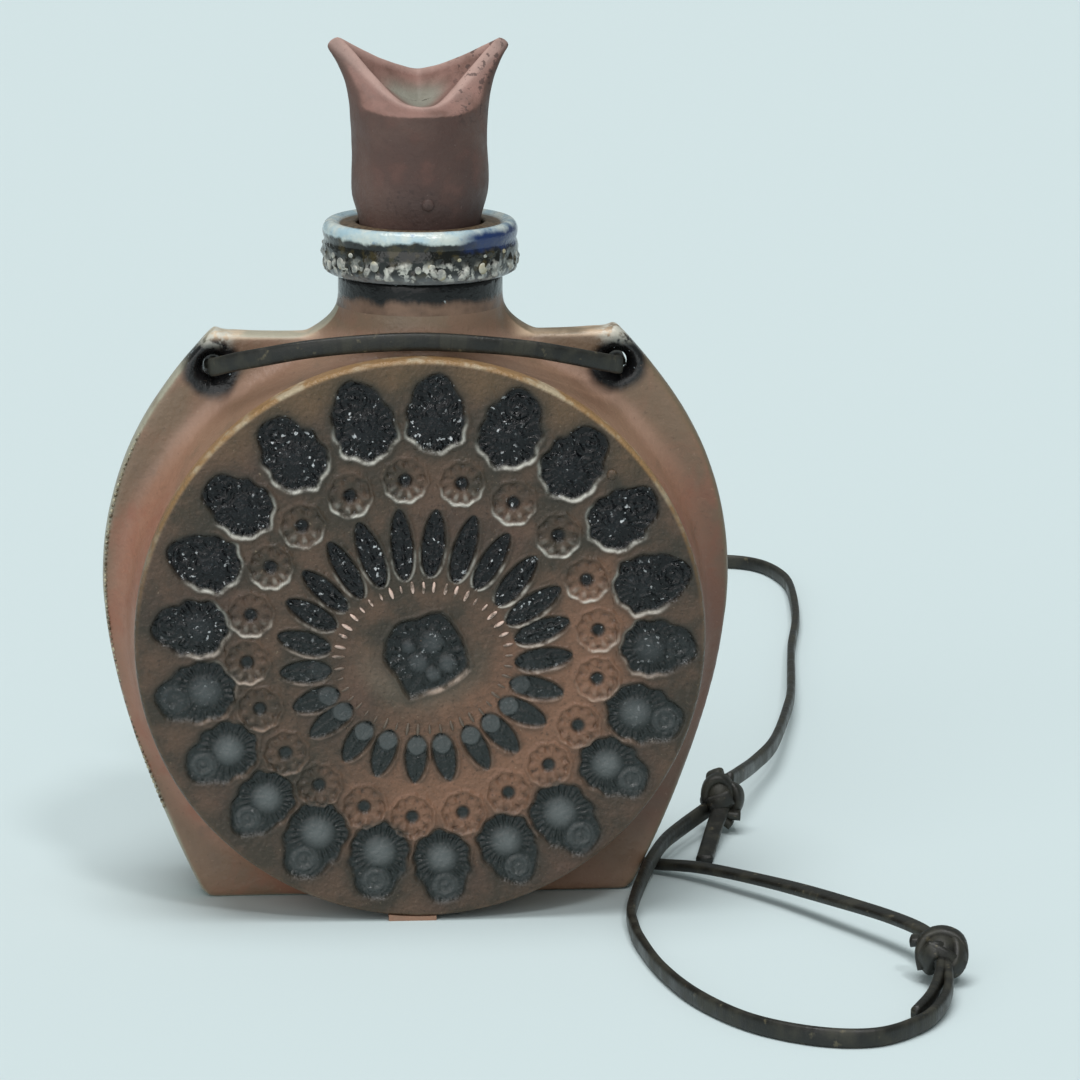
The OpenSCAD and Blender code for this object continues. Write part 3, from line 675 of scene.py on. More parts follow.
class Relief:
    """Height and glaze of the stamped face at points right of and above its centre, and where a
    highlight is painted on its upward-facing edges.
    """

    def __init__(self, x, z):
        self.x, self.z, self.r = x, z, np.hypot(x, z)
        flat = np.column_stack([x.ravel(), z.ravel(), np.zeros(x.size)])
        self.soft = smooth_noise(flat, 15, 1).reshape(x.shape)
        self.fine = smooth_noise(flat, 2.4, 2).reshape(x.shape)
        self.drops = np.clip(smooth_noise(flat, 1.25, 3).reshape(x.shape) * 2 - 0.15, 0, 1)
        self.height = 0.14 * self.soft + 0.05 * self.fine
        self.glaze, self.pale, self.grey, self.halo = (np.zeros_like(x) for _ in range(4))
        self.rng = np.random.default_rng(11)

    def near(self, place, turn, reach):
        """Points near a place: across and outwards of it, how far below it, and the drops."""
        a = math.radians(turn)
        dx, dz = self.x - place[0], self.z - place[1]
        found = np.hypot(dx, dz) < reach
        dx, dz = dx[found], dz[found]
        u = dx * math.cos(a) - dz * math.sin(a)
        v = dx * math.sin(a) + dz * math.cos(a)
        under = smoothstep(-0.1, 0.95, -dz / np.maximum(np.hypot(dx, dz), 0.1))
        return found, u, v, under, self.drops[found]

    def put(self, found, height=0, **layers):
        self.height[found] += height
        for name, values in layers.items():
            layer = getattr(self, name)
            layer[found] = np.maximum(layer[found], values)

    def big_stamp(self, turn):
        """An egg-shaped stamp: ribbed field with a raised middle, and a ringed outer end."""
        lift = self.rng.uniform(-0.4, 0.4)
        size = self.rng.uniform(0.95, 1.05)
        phase, deep = self.rng.uniform(0, TAU), self.rng.uniform(0.95, 1.25)
        place = np.add(on_ring(STAMP_RING, turn), (0, lift))
        found, u, v, under, drops = self.near(place, turn, 16)
        u, v = u / size, v / size
        low = smoothstep(0.35, -0.55, math.cos(math.radians(turn)))
        w = v + 1.9
        rad, way = np.hypot(u, w), np.arctan2(u, w)
        hexagon = np.maximum(np.abs(u), np.abs(u) * 0.5 + np.abs(w) * 0.866) - 7.0
        field_d = 0.55 * hexagon + 0.45 * (rad - 7.7)
        boss_d = np.hypot(u + 0.4, v - 5.6)
        edge = joined(field_d, boss_d - 4.7, 6) + 0.25 * np.sin(9 * way + phase)
        both, boss = inside(edge, 1.0), inside(boss_d - 3.6, 0.7)
        ribs = np.cos(25 * way + phase) * line(rad - 5.6, 1.5) * both * (1 - boss)
        pad = np.clip(1 - (rad / 4.4) ** 2, 0, 1) * (1 - boss)
        coil = np.cos(boss_d * 2.6 + 0.4) * boss
        rim = line(edge - 0.5, 0.45) * smoothstep(5, -3, v)
        height = (-deep * both + (0.18 + 0.12 * low) * ribs + 0.5 * pad + 0.25 * coil
                  - 0.3 * boss * (1 - low) + 0.34 * rim + (0.55 - 0.4 * low) * drops * both)
        # painted highlight: light colour along the stamp's lower, upward-facing edges, where the top
        # light catches them; weaker on the lower stamps
        ledge_highlight = line(edge + 0.05, 0.34) * np.maximum(under * smoothstep(4.5, -2, v),
                                                     0.7 * smoothstep(-3.5, -7, v))
        self.put(found, height, glaze=both, pale=ledge_highlight * (1 - 0.75 * low),
                 grey=np.maximum(pad ** 1.2 * (0.1 + 0.7 * low), 0.25 * boss * low),
                 halo=np.exp(-np.clip(edge, 0, None) / 2.2))

    def rosette(self, turn):
        """A small round stamp: a ring, low petals and a deep middle."""
        place = np.add(on_ring(ROSETTE_RING, turn), self.rng.uniform(-0.35, 0.35, 2))
        phase, count = self.rng.uniform(0, TAU), self.rng.integers(8, 11)
        found, u, v, under, drops = self.near(place, turn, 8)
        rad, way = np.hypot(u, v), np.arctan2(u, v)
        waves = np.cos(count * way + phase)
        edge = rad - 5.55 - 0.18 * waves
        ring = line(edge, 0.42)
        beads = smoothstep(-0.4, 0.9, waves) * line(rad - 3.7, 0.95)
        dents = smoothstep(0.3, 1, -waves) * line(rad - 4.3, 0.5)
        pit = inside(rad - 2.0, 1.1)
        height = (0.42 * ring - 0.42 * inside(edge + 0.4, 0.7) + 0.36 * beads - 0.3 * dents
                  - 0.85 * pit + 0.15 * drops * inside(edge, 1))
        # painted highlight: light colour on the ring's lower, upward-facing edge and beads, stronger
        # on the rosettes in the top half
        top_lit = smoothstep(-0.75, 0.2, math.cos(math.radians(turn)))
        ledge_highlight = line(edge + 0.25, 0.32) * under
        self.put(found, height, glaze=np.maximum(pit, 0.35 * dents), halo=0.8 * pit,
                 pale=np.maximum(ledge_highlight, 0.3 * beads * under) * (0.3 + 0.7 * top_lit))

    def petal(self, turn):
        """A leaf-shaped stamp; the lower ones carry a small round one on their root."""
        tip, root = np.array(on_ring(PETAL_TIPS, turn)), np.array(on_ring(PETAL_ROOTS, turn))
        place, arm = (tip + root) / 2, tip - root
        way = math.degrees(math.atan2(arm[0], arm[1])) + self.rng.uniform(-3, 3)
        long = np.hypot(*arm) / 2 * self.rng.uniform(0.94, 1.04)
        found, u, v, under, drops = self.near(place, way, 10.5)
        low = smoothstep(0.1, -0.6, math.cos(math.radians(turn)))
        swell = np.clip(1 - (v / long) ** 2, 0, 1) ** 0.52 * (1 - 0.1 * v / long)
        half = self.rng.uniform(2.75, 3.1) * swell
        edge = np.where(np.abs(v) < long, np.abs(u) - half, 3.0)
        body = inside(edge, 0.8)
        dot_d = np.hypot(u, v + long - 3.0)
        dot = inside(dot_d - 2.55, 0.5) * low
        vein = line(u, 0.4) * body * (1 - dot)
        side = line(edge - 0.5, 0.4) * smoothstep(long * 1.05, long * 0.7, np.abs(v))
        height = (-0.85 * np.maximum(body, dot) + 0.18 * vein + 0.3 * side + 0.5 * dot
                  - 0.25 * line(dot_d - 2.6, 0.35) * low + (0.45 - 0.35 * low) * drops * body)
        # painted highlight: light colour along the petal's lower, upward-facing edge, weaker low
        # down and stronger on the right
        ledge_highlight = line(edge - 0.15, 0.28) * under * (np.abs(v) < long)
        right = smoothstep(0.2, 0.9, math.sin(math.radians(turn)))
        self.put(found, height, glaze=np.maximum(body, dot), grey=dot * 0.42,
                 pale=ledge_highlight * (1 - 0.6 * low) * (0.45 + 0.55 * right),
                 halo=np.exp(-np.clip(edge, 0, None) / 1.4))

    def flower(self):
        """The middle stamp: a rounded square with a scalloped left side and soft lobes."""
        found, u, v, under, drops = self.near(FLOWER, 0, 14)
        rad, way = np.hypot(u, v), np.arctan2(u, v)
        p, q = u * 0.9 + v * 0.42, v * 0.9 - u * 0.42
        edge = 0.5 * np.maximum(np.abs(p), np.abs(q)) + 0.5 * rad - 9.7
        edge += 0.55 * np.cos(6 * way + 1) * smoothstep(4, -4, u)
        field = inside(edge, 1.2)
        height = -1.2 * field + 0.3 * line(edge - 0.5, 0.4)
        height += 0.22 * np.cos(17 * way) * line(rad - 7.6, 1.1) * field
        grey = np.zeros_like(u)
        for x, z, size in ((1.6, 2.9, 3.3), (5.4, -2.6, 2.7), (-1.8, -2.3, 2.9), (1.8, -5.2, 2.2),
                           (-4.2, 1.8, 2.0)):
            blob = np.clip(1 - (np.hypot(u - x, v - z) / size) ** 2, 0, 1)
            height += 0.6 * blob ** 0.7
            grey = np.maximum(grey, blob * 0.5)
        height += 0.25 * drops * field
        # painted highlight: light colour along the middle stamp's lower right, upward-facing edge
        self.put(found, height, glaze=field, grey=grey,
                 pale=line(edge + 0.1, 0.45) * under * smoothstep(-2, 4, u),
                 halo=np.exp(-np.clip(edge, 0, None) / 2.2))

    def stamp_all(self):
        for turn in STAMP_TURNS:
            self.big_stamp(turn)
        for a, b in zip(STAMP_TURNS, STAMP_TURNS[1:] + (STAMP_TURNS[0] + 360,)):
            self.rosette((a + b) / 2)
        for k in range(PETALS):
            self.petal(k * 360 / PETALS + 5 + self.rng.uniform(-1.2, 1.2))
        self.flower()
        over = np.clip(self.r - (DISC_R - 1.5), 0, 1.5)
        self.height -= 1.5 - np.sqrt(np.maximum(1.5 ** 2 - over ** 2, 0))
        self.glaze *= smoothstep(DISC_R, DISC_R - 1.2, self.r)
        return self


def slab_ring(name, radii, cols):
    """A ring of the face slab, or its middle, as a closed piece with the stamped relief."""
    whole = radii[0] == 0
    radii = radii[1:] if whole else radii
    a = np.arange(cols) / cols * TAU
    x, z = radii[:, None] * np.sin(a), radii[:, None] * np.cos(a)
    face = Relief(x, z).stamp_all()
    top = np.stack([x, -(FACE_BASE + face.height), DISC_Z + z], axis=-1)
    back = top[[-1]] if whole else top[[-1, 0]]
    back = back * (1, 0, 1) - (0, FACE_Y - DISC_T, 0)
    rows = np.concatenate([top, back])
    if whole:
        points, faces = closed_rings(rows)
    else:
        points, faces = looped_rings(rows)
    piece = mesh_piece(name, points, faces, sharp_deg=80)
    face_outwards(piece)
    for key in ("glaze", "pale", "grey", "halo"):
        values = np.zeros(len(points))
        values[:x.size] = getattr(face, key).ravel()
        set_value(piece, key, values)
    return piece


def face_slab():
    rim = DISC_R - 1.5 + 1.5 * np.sin(np.radians((10, 22, 34, 46, 58, 70, 82, 90)))
    outer = np.concatenate([np.linspace(48, DISC_R - 1.5, 62), rim])
    rings = (("slab_outer_ring", outer, 1152), ("slab_petal_ring", np.linspace(17, 48, 82), 1152),
             ("slab_centre", np.linspace(0, 17, 58), 384))
    for name, radii, cols in rings:
        piece = slab_ring(name, radii, cols)
        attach(piece, "flask")
        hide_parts("front_medallion")
        yield piece


slab_pieces = list(face_slab())

back_profile = [(69.5, 23), (70.1, 23.8), (70.1, 27.5), (69.66, 28.56), (68.6, 29), (66.6, 28.95),
                (65.6, 28.5), (64.6, 28.9), (52, 28.95), (51, 28.6), (50, 28.95), (30, 29),
                (29, 28.7), (28, 29), (8, 29)]
back_slab = turned("back_slab_clay", back_profile, (0, 0, DISC_Z), "Y", 256)
back_slab.data.set_sharp_from_angle(angle=math.radians(70))
set_value(back_slab, "lug", near_lugs(points_of(back_slab)) * MM)
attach(back_slab, "flask")
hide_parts("back_disc")


# ---- collar and stopper ----
def ring_piece(name, profile, sides, lift=None):
    """A closed ring turned from a closed outline of (radius, height) pairs."""
    a = np.arange(sides) / sides * TAU
    r, h = np.array(profile).T
    rings = np.stack([np.outer(r, np.cos(a)), np.outer(r, np.sin(a)),
                      np.outer(h, np.ones(sides))], axis=-1)
    points, faces = looped_rings(rings)
    if lift is not None:
        out = lift(points)
        points = points * np.column_stack([out, out, np.ones(len(out))])
    piece = mesh_piece(name, points + (NECK_X, 0, 0), faces)
    face_outwards(piece)
    return piece


def collar_beads(points):
    """Where thick glaze stands in runs round the collar's lower half, 0 to 1."""
    z = points[:, 2]
    outer = smoothstep(20.5, 23.5, np.hypot(points[:, 0], points[:, 1]))
    runs = np.clip(smooth_noise(points * (1, 1, 0.8), 2.0, 5) * 2.2 + 0.1, 0, 1)
    return runs * outer * smoothstep(158.6, 160, z) * smoothstep(165.8, 162.6, z)


def collar_lift(points):
    """Beads and soft waves of glaze round the collar, and the groove under its lip."""
    r = np.hypot(points[:, 0], points[:, 1])
    outer = smoothstep(20.5, 23.5, r)
    wave = 0.16 * smooth_noise(points, 9, 6)
    groove = -0.35 * line(points[:, 2] - 166.9, 0.7)
    return 1 + (0.75 * collar_beads(points) + outer * (wave + groove)) / np.maximum(r, 1)


collar_outline = catmull([(13.2, 158.5), (17, 158.45), (21.4, 158.4), (22.9, 158.9), (23.7, 160.2),
                          (24, 162.4), (24.05, 165), (24, 167.6), (24.1, 169.2), (23.6, 170.6),
                          (22.5, 171.4), (21.2, 171.3), (20.1, 170.6), (19.2, 170.5),
                          (17.4, 170.9), (16.1, 171), (15.75, 170.5), (15.7, 168.4), (15.6, 166.7),
                          (15.2, 166.5), (13.3, 166.5), (13.2, 166.2), (13.2, 162)], 0.45)
collar = ring_piece("collar_glazed", collar_outline, 360, collar_lift)
collar_points = points_of(collar) - (NECK_X, 0, 0)
set_value(collar, "bead", collar_beads(collar_points))
set_value(collar, "mouth", smoothstep(20.6, 19.6, np.hypot(collar_points[:, 0],
                                                           collar_points[:, 1])))
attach(collar, "flask")
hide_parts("collar")


def grip_rings(cols=240):
    """The stopper's grip: round below, pinched above into two lips and two solid horns."""
    a = np.arange(cols) / cols * TAU
    c, s = np.cos(a), np.sin(a)
    left, back = c < 0, s > 0
    horn = np.abs(c) ** np.where(back, 1.6, 2.8)
    base = 203.1 + 3.1 * s
    rim_z = base + (214.2 - base) * horn
    rim = np.stack([c * (15.6 + (6.6 + 0.3 * left) * horn),
                    s * (14.3 - 12.6 * np.abs(c) ** 1.7 - 0.4 * back), rim_z], axis=-1)
    rings = []
    for z, r in ((GRIP_Z, 14.4), (GRIP_Z + 0.5, 14.9), (169, 15), (171, 15.05), (173.2, 15.45),
                 (176, 16.3), (179, 16.85), (182.5, 16.95), (186, 16.75), (189.5, 16.7)):
        rings.append(np.stack([c * r, s * (r - 0.2), np.full(cols, z)], axis=-1))
    waist = rings[-1]
    for t in np.linspace(0, 1, 21)[1:]:
        z = waist[:, 2] + (rim_z - waist[:, 2]) * t
        crease = np.where(back, 202.4, 198.9) + 1.6 * horn
        fold = np.clip((z - crease) / np.maximum(rim_z - crease, 0.4), 0, 1)
        rings.append(np.stack([waist[:, 0] + (rim[:, 0] - waist[:, 0]) * t ** 3.2,
                               waist[:, 1] + (rim[:, 1] - waist[:, 1]) * fold, z], axis=-1))
    reach = np.hypot(rim[:, 0], rim[:, 1])
    for inset, rise, horn_rise in ((0.5, 0.55, 1.1), (1.3, 0.7, 1.9), (2.3, 0.5, 2.2)):
        keep = (reach - inset * (1 + 0.4 * horn)) / reach
        rings.append(np.stack([rim[:, 0] * keep, rim[:, 1] * keep,
                               rim_z + rise * (1 - horn) + horn_rise * horn], axis=-1))
    last = rings[-1]
    for share in (0.92, 0.83, 0.74, 0.64, 0.54, 0.44, 0.34, 0.24, 0.14, 0.06):
        flat = 200.4 + 1.6 * s * share
        z = flat + (last[:, 2] - flat) * share ** 1.5 * (1 - 0.12 * math.sin(math.pi * share))
        rings.append(np.stack([last[:, 0] * share, last[:, 1] * share, z], axis=-1))
    return np.array(rings) + (NECK_X, 0, 0)


rings = grip_rings()
grip = mesh_piece("stopper_grip_clay", *closed_rings(rings))
face_outwards(grip)
row = np.arange(len(rings))
for name, share in (("lip", smoothstep(28.4, 30.4, row) * smoothstep(34, 32, row)),
                    ("dish", smoothstep(34, 40, row))):
    set_value(grip, name, np.append(np.repeat(share, rings.shape[1]), [share[0], share[-1]]))
grip_fine = grip.modifiers.new("fine", "SUBSURF")
grip_fine.levels = grip_fine.render_levels = 1
bake_modifiers(grip)
roughen(grip, ((13, 0.35), (4, 0.1)), seed=4)
# how far each point faces up; the finish paints those faces lighter, as lit from above
upward = np.empty(3 * len(grip.data.vertices))
grip.data.vertices.foreach_get("normal", upward)
set_value(grip, "top_lit", smoothstep(0.12, 0.55, upward.reshape(-1, 3)[:, 2]))
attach(grip, "stopper")
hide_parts("stopper_grip")


# ---- what repeats: beads, ticks and teeth, set out by Geometry Nodes ----
BEAD_SIZES = (("Pitch", "NodeSocketFloat"), ("Bead", "NodeSocketVector"),
              ("Size Spread", "NodeSocketFloat"), ("Place Spread", "NodeSocketVector"),
              ("Up", "NodeSocketVector"), ("Seed", "NodeSocketInt"))


def bead_tree():
    """Beads spaced along a path, each turned with the path and varied in size and place."""
    tree = bpy.data.node_groups.new("beads_on_a_path", "GeometryNodeTree")
    tree.interface.new_socket("Geometry", in_out="INPUT", socket_type="NodeSocketGeometry")
    for name, kind in BEAD_SIZES:
        tree.interface.new_socket(name, in_out="INPUT", socket_type=kind)
    tree.interface.new_socket("Finish", in_out="INPUT", socket_type="NodeSocketMaterial")
    tree.interface.new_socket("Geometry", in_out="OUTPUT", socket_type="NodeSocketGeometry")

    def node(kind, **settings):
        made = tree.nodes.new(kind)
        for key, value in settings.items():
            setattr(made, key, value)
        return made

    def link(source, target):
        tree.links.new(source, target)

    given = node("NodeGroupInput").outputs
    curve = node("GeometryNodeMeshToCurve")
    link(given["Geometry"], curve.inputs["Mesh"])
    points = node("GeometryNodeCurveToPoints", mode="LENGTH")
    link(curve.outputs["Curve"], points.inputs["Curve"])
    link(given["Pitch"], points.inputs["Length"])
    spread = node("FunctionNodeRandomValue", data_type="FLOAT_VECTOR")
    low = node("ShaderNodeVectorMath", operation="SCALE")
    low.inputs["Scale"].default_value = -1
    link(given["Place Spread"], low.inputs[0])
    link(low.outputs[0], spread.inputs[0])
    link(given["Place Spread"], spread.inputs[1])
    link(given["Seed"], spread.inputs["Seed"])
    moved = node("GeometryNodeSetPosition")
    link(points.outputs["Points"], moved.inputs["Geometry"])
    link(spread.outputs[0], moved.inputs["Offset"])
    along = node("FunctionNodeAlignRotationToVector", axis="X")
    link(points.outputs["Tangent"], along.inputs["Vector"])
    facing = node("FunctionNodeAlignRotationToVector", axis="Z", pivot_axis="X")
    link(along.outputs[0], facing.inputs["Rotation"])
    link(given["Up"], facing.inputs["Vector"])
    size = node("FunctionNodeRandomValue", data_type="FLOAT")
    smallest = node("ShaderNodeMath", operation="SUBTRACT")
    smallest.inputs[0].default_value = 1
    link(given["Size Spread"], smallest.inputs[1])
    largest = node("ShaderNodeMath", operation="ADD")
    largest.inputs[0].default_value = 1
    link(given["Size Spread"], largest.inputs[1])
    link(smallest.outputs[0], size.inputs[2])
    link(largest.outputs[0], size.inputs[3])
    link(given["Seed"], size.inputs["Seed"])
    scale = node("ShaderNodeVectorMath", operation="SCALE")
    link(given["Bead"], scale.inputs[0])
    link(size.outputs[1], scale.inputs["Scale"])
    ball = node("GeometryNodeMeshIcoSphere")
    ball.inputs["Radius"].default_value = 1
    ball.inputs["Subdivisions"].default_value = 3
    beads = node("GeometryNodeInstanceOnPoints")
    link(moved.outputs[0], beads.inputs["Points"])
    link(ball.outputs["Mesh"], beads.inputs["Instance"])
    link(facing.outputs[0], beads.inputs["Rotation"])
    link(scale.outputs[0], beads.inputs["Scale"])
    real = node("GeometryNodeRealizeInstances")
    link(beads.outputs[0], real.inputs[0])
    finish = node("GeometryNodeSetMaterial")
    link(real.outputs[0], finish.inputs["Geometry"])
    link(given["Finish"], finish.inputs["Material"])
    link(finish.outputs[0], node("NodeGroupOutput").inputs[0])
    return tree


def beads_along(name, path, closed, finish, pitch, bead, size_spread=0.25,
                place_spread=(0, 0, 0), up=(0, -1, 0), seed=1):
    """A mesh piece of beads along a path; lengths in millimetres."""
    path = np.asarray(path, dtype=float) * MM
    edges = [(i, i + 1) for i in range(len(path) - 1)] + ([(len(path) - 1, 0)] if closed else [])
    mesh = bpy.data.meshes.new(name)
    mesh.from_pydata(path.tolist(), edges, [])
    piece = bpy.data.objects.new(name, mesh)
    bpy.context.collection.objects.link(piece)
    mod = piece.modifiers.new("beads", "NODES")
    mod.node_group = BEADS
    given = {"Pitch": pitch * MM, "Bead": [v * MM for v in bead], "Size Spread": size_spread,
             "Place Spread": [v * MM for v in place_spread], "Up": up, "Seed": seed,
             "Finish": finish}
    for socket in BEADS.interface.items_tree:
        if socket.in_out == "INPUT" and socket.name in given:
            mod[socket.identifier] = given[socket.name]
    bake_modifiers(piece)
    piece.data.shade_smooth()
    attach(piece, "flask")
    return piece


# ---- finishes ----
def clay_finish():
    """Wood-fired body clay: pink and red-brown in the hollow, olive outside, ash at the lugs; with a
    painted highlight streak in the hollow, painted light on the shoulder tops, painted shade on the
    right side and painted glints on the ash.
    """
    n = Nodes("body_clay_fired")
    x, y, z = n.axis("X"), n.axis("Y"), n.axis("Z")
    cloud, patch = n.noise(42, 3), n.noise(13, 4, distort=0.4)
    grain, speck = n.noise(1.3, 4, 0.65), n.noise(2.1, 2)
    away = n.away_from_drum()
    wobble = n.math("ADD", away, n.math("MULTIPLY", n.noise(16, 2), 5))
    colour = n.mix(n.ramp(wobble, 75, 82), rgb(156, 114, 94), rgb(124, 100, 80))
    colour = n.mix(n.ramp(patch, 0.46, 0.66, 0, 0.7), colour, rgb(148, 98, 78))
    colour = n.mix(n.ramp(patch, 0.42, 0.24, 0, 0.7), colour, rgb(106, 88, 74))
    high = n.ramp(n.math("ADD", z, n.math("MULTIPLY", cloud, 30)), 112, 140)
    colour = n.mix(n.math("MULTIPLY", high, 0.6), colour, rgb(130, 110, 90))
    # painted shade: the body's right side, more so lower down, is darkened as if turned from the
    # light
    right = n.math("MULTIPLY", n.ramp(x, 20, 60), n.ramp(z, 126, 60))
    colour = n.mix(n.math("MULTIPLY", right, 0.7), colour, rgb(82, 60, 50))
    base = n.math("MULTIPLY", n.ramp(z, 26, 4), n.ramp(cloud, 0.3, 0.6))
    colour = n.mix(n.math("MULTIPLY", base, 0.6), colour, rgb(152, 122, 100))
    # painted highlight: a light pinkish streak along the hollow's top slope near the slab, where the
    # overhead light catches it
    band = n.math("MULTIPLY", n.ramp(wobble, 74, 76), n.ramp(wobble, 80, 76.8))
    band = n.math("MULTIPLY", band, n.ramp(z, 104, 122))
    colour = n.mix(n.math("MULTIPLY", band, 0.45), colour, rgb(178, 144, 126))
    # painted light: the shoulder tops are made much lighter, as lit from above
    top = n.math("MULTIPLY", n.ramp(z, 142.0, 143.6), n.ramp(n.math("ABSOLUTE", x), 22, 30))
    colour = n.mix(n.math("MULTIPLY", top, 0.9), colour, rgb(244, 214, 182))
    edge = n.math("MULTIPLY", n.ramp(n.math("ABSOLUTE", y), 4.5, 3.9), n.ramp(away, 76, 77.6))
    strip = n.mix(n.ramp(x, -10, 10), rgb(166, 164, 146), rgb(112, 98, 78))
    colour = n.mix(n.math("MULTIPLY", edge, n.ramp(patch, 0.3, 0.55, 0.35, 0.9)), colour, strip)
    lug = n.math("ADD", n.math("MULTIPLY", n.value("lug"), 1000), n.math("MULTIPLY", patch, -4))
    ash = n.math("MULTIPLY", n.ramp(lug, 6.6, 3.6), n.ramp(z, 118, 124))
    colour = n.mix(ash, colour, rgb(22, 22, 23))
    tip = n.math("MULTIPLY", n.ramp(z, 139.5, 143.5), n.ramp(n.math("ABSOLUTE", x), 43.5, 47.5))
    tip = n.math("MULTIPLY", tip, n.ramp(speck, 0.4, 0.55))
    colour = n.mix(n.math("MULTIPLY", tip, 0.8), colour, rgb(208, 206, 194))
    # bluish-white specks on the dark ash at the lugs: partly whitish ash deposit, partly painted
    # glints
    ash_specks_and_glints = n.math("MULTIPLY", ash, n.ramp(n.noise(1.5, 2), 0.7, 0.76))
    colour = n.mix(n.math("MULTIPLY", ash_specks_and_glints, 0.8), colour, rgb(186, 200, 208))
    colour = n.mix(n.ramp(grain, 0.6, 0.8, 0, 0.5), colour, rgb(66, 50, 42))
    colour = n.mix(n.ramp(grain, 0.38, 0.2, 0, 0.35), colour, rgb(196, 166, 144))
    rough = n.ramp(patch, 0.3, 0.7, 0.34, 0.5)
    rough = n.math("SUBTRACT", rough, n.math("MULTIPLY", ash, 0.22), clamp=True)
    normal = n.bump(speck, 0.6, 0.4, n.bump(grain, 0.22, 0.7))
    return n.finish(colour, rough, normal, IOR=1.5)


def slab_finish():
    """Stamped slab: dark pooled glaze in the stamps with painted glints in the top half, a painted
    highlight on the stamps' upward-facing edges, warm ash-dusted ground, and a tan rim made stronger
    towards the top as a partly painted highlight.
    """
    n = Nodes("slab_ash_glaze")
    x, z = n.axis("X"), n.axis("Z")
    cloud, patch = n.noise(30, 3), n.noise(8, 4)
    grain, fine = n.noise(1.2, 4, 0.6), n.noise(0.55, 3)
    away = n.away_from_drum()
    up = n.ramp(n.math("ADD", z, n.math("MULTIPLY", cloud, 30)), 60, 108)
    outer = n.ramp(n.math("ADD", away, n.math("MULTIPLY", patch, 8)), 62, 70)
    top = n.math("MULTIPLY", n.ramp(z, 96, 136), outer)
    ground = n.mix(n.ramp(patch, 0.35, 0.65), rgb(66, 58, 48), rgb(96, 76, 62))
    ground = n.mix(n.ramp(cloud, 0.5, 0.7, 0, 0.5), ground, rgb(98, 74, 64))
    ground = n.mix(n.math("MULTIPLY", top, 0.5), ground, rgb(116, 92, 64))
    corner = n.math("SUBTRACT", n.math("MULTIPLY", x, 0.9), z)
    corner = n.ramp(n.math("ADD", corner, n.math("MULTIPLY", patch, 20)), -54, -20)
    corner = n.math("MULTIPLY", corner, n.ramp(away, 60, 50))
    ground = n.mix(n.math("MULTIPLY", corner, 0.8), ground, rgb(142, 104, 82))
    heart = n.math("MULTIPLY", n.ramp(away, 20, 12), n.ramp(z, 74, 58))
    ground = n.mix(n.math("MULTIPLY", heart, 0.6), ground, rgb(128, 114, 98))
    ground = n.mix(n.math("MULTIPLY", n.value("halo"), 0.7), ground, rgb(52, 49, 42))
    ground = n.mix(n.ramp(grain, 0.56, 0.74, 0, 0.6), ground, rgb(46, 38, 32))
    ground = n.mix(n.ramp(grain, 0.36, 0.22, 0, 0.4), ground, rgb(176, 158, 132))
    pool = n.mix(up, rgb(38, 43, 42), rgb(7, 8, 11))
    pool = n.mix(n.ramp(fine, 0.56, 0.72, 0, 0.4), pool, rgb(64, 72, 78))
    grey = n.mix(up, rgb(124, 128, 128), rgb(62, 68, 74))
    pool = n.mix(n.math("MULTIPLY", n.value("grey"), 0.75), pool, grey)
    # painted glints: white specks in the pooled glaze of the stamps in the top half, standing in for
    # highlights
    painted_glints = n.math("MULTIPLY", n.ramp(n.noise(1.15, 2), 0.62, 0.7),
                     n.ramp(n.noise(5, 2), 0.44, 0.62))
    pool = n.mix(n.math("MULTIPLY", painted_glints, n.math("MULTIPLY", up, 0.85)), pool,
                 rgb(222, 224, 226))
    glaze = n.value("glaze")
    colour = n.mix(glaze, ground, pool)
    # painted highlight: the colour laid on the stamps' upward-facing edges, whiter towards the top
    # and broken by noise
    highlight_colour = n.mix(up, rgb(176, 150, 132), rgb(214, 212, 202))
    pale = n.math("MULTIPLY", n.value("pale"), n.ramp(n.noise(4, 3), 0.36, 0.58, 0.1, 0.9))
    colour = n.mix(pale, colour, highlight_colour)
    # the slab's tan rim, strongest towards the top where the overhead light catches its rounded
    # edge: partly clay colour, partly painted highlight
    rim = n.math("MULTIPLY", n.ramp(away, 68.7, 69.6), n.ramp(z, 70, 122, 0.1, 1))
    colour = n.mix(n.math("MULTIPLY", rim, 0.8), colour,
                   n.mix(n.ramp(patch, 0.5, 0.66), rgb(158, 124, 84), rgb(186, 170, 142)))
    rough = n.mix(glaze, (0.34, 0.34, 0.34), (0.1, 0.1, 0.1))
    rough = n.math("ADD", rough, n.ramp(patch, 0.3, 0.7, -0.05, 0.08), clamp=True)
    normal = n.bump(n.noise(1.5, 2), 0.6, 0.9, n.bump(grain, 0.3, 0.8))
    made = n.finish(colour, rough, normal, IOR=1.48)
    n.shader.inputs["Specular IOR Level"].default_value = 0.35
    return made


def bead_finish():
    """Milky ash glaze where it stands in beads and drips."""
    n = Nodes("bead_ash_glaze")
    patch, fine = n.noise(3, 3), n.noise(0.8, 3)
    colour = n.mix(n.ramp(patch, 0.4, 0.62), rgb(132, 132, 128), rgb(196, 194, 182))
    colour = n.mix(n.ramp(n.noise(6, 2), 0.54, 0.66, 0, 0.6), colour, rgb(150, 134, 84))
    return n.finish(colour, 0.14, n.bump(fine, 0.1, 0.5), IOR=1.56)


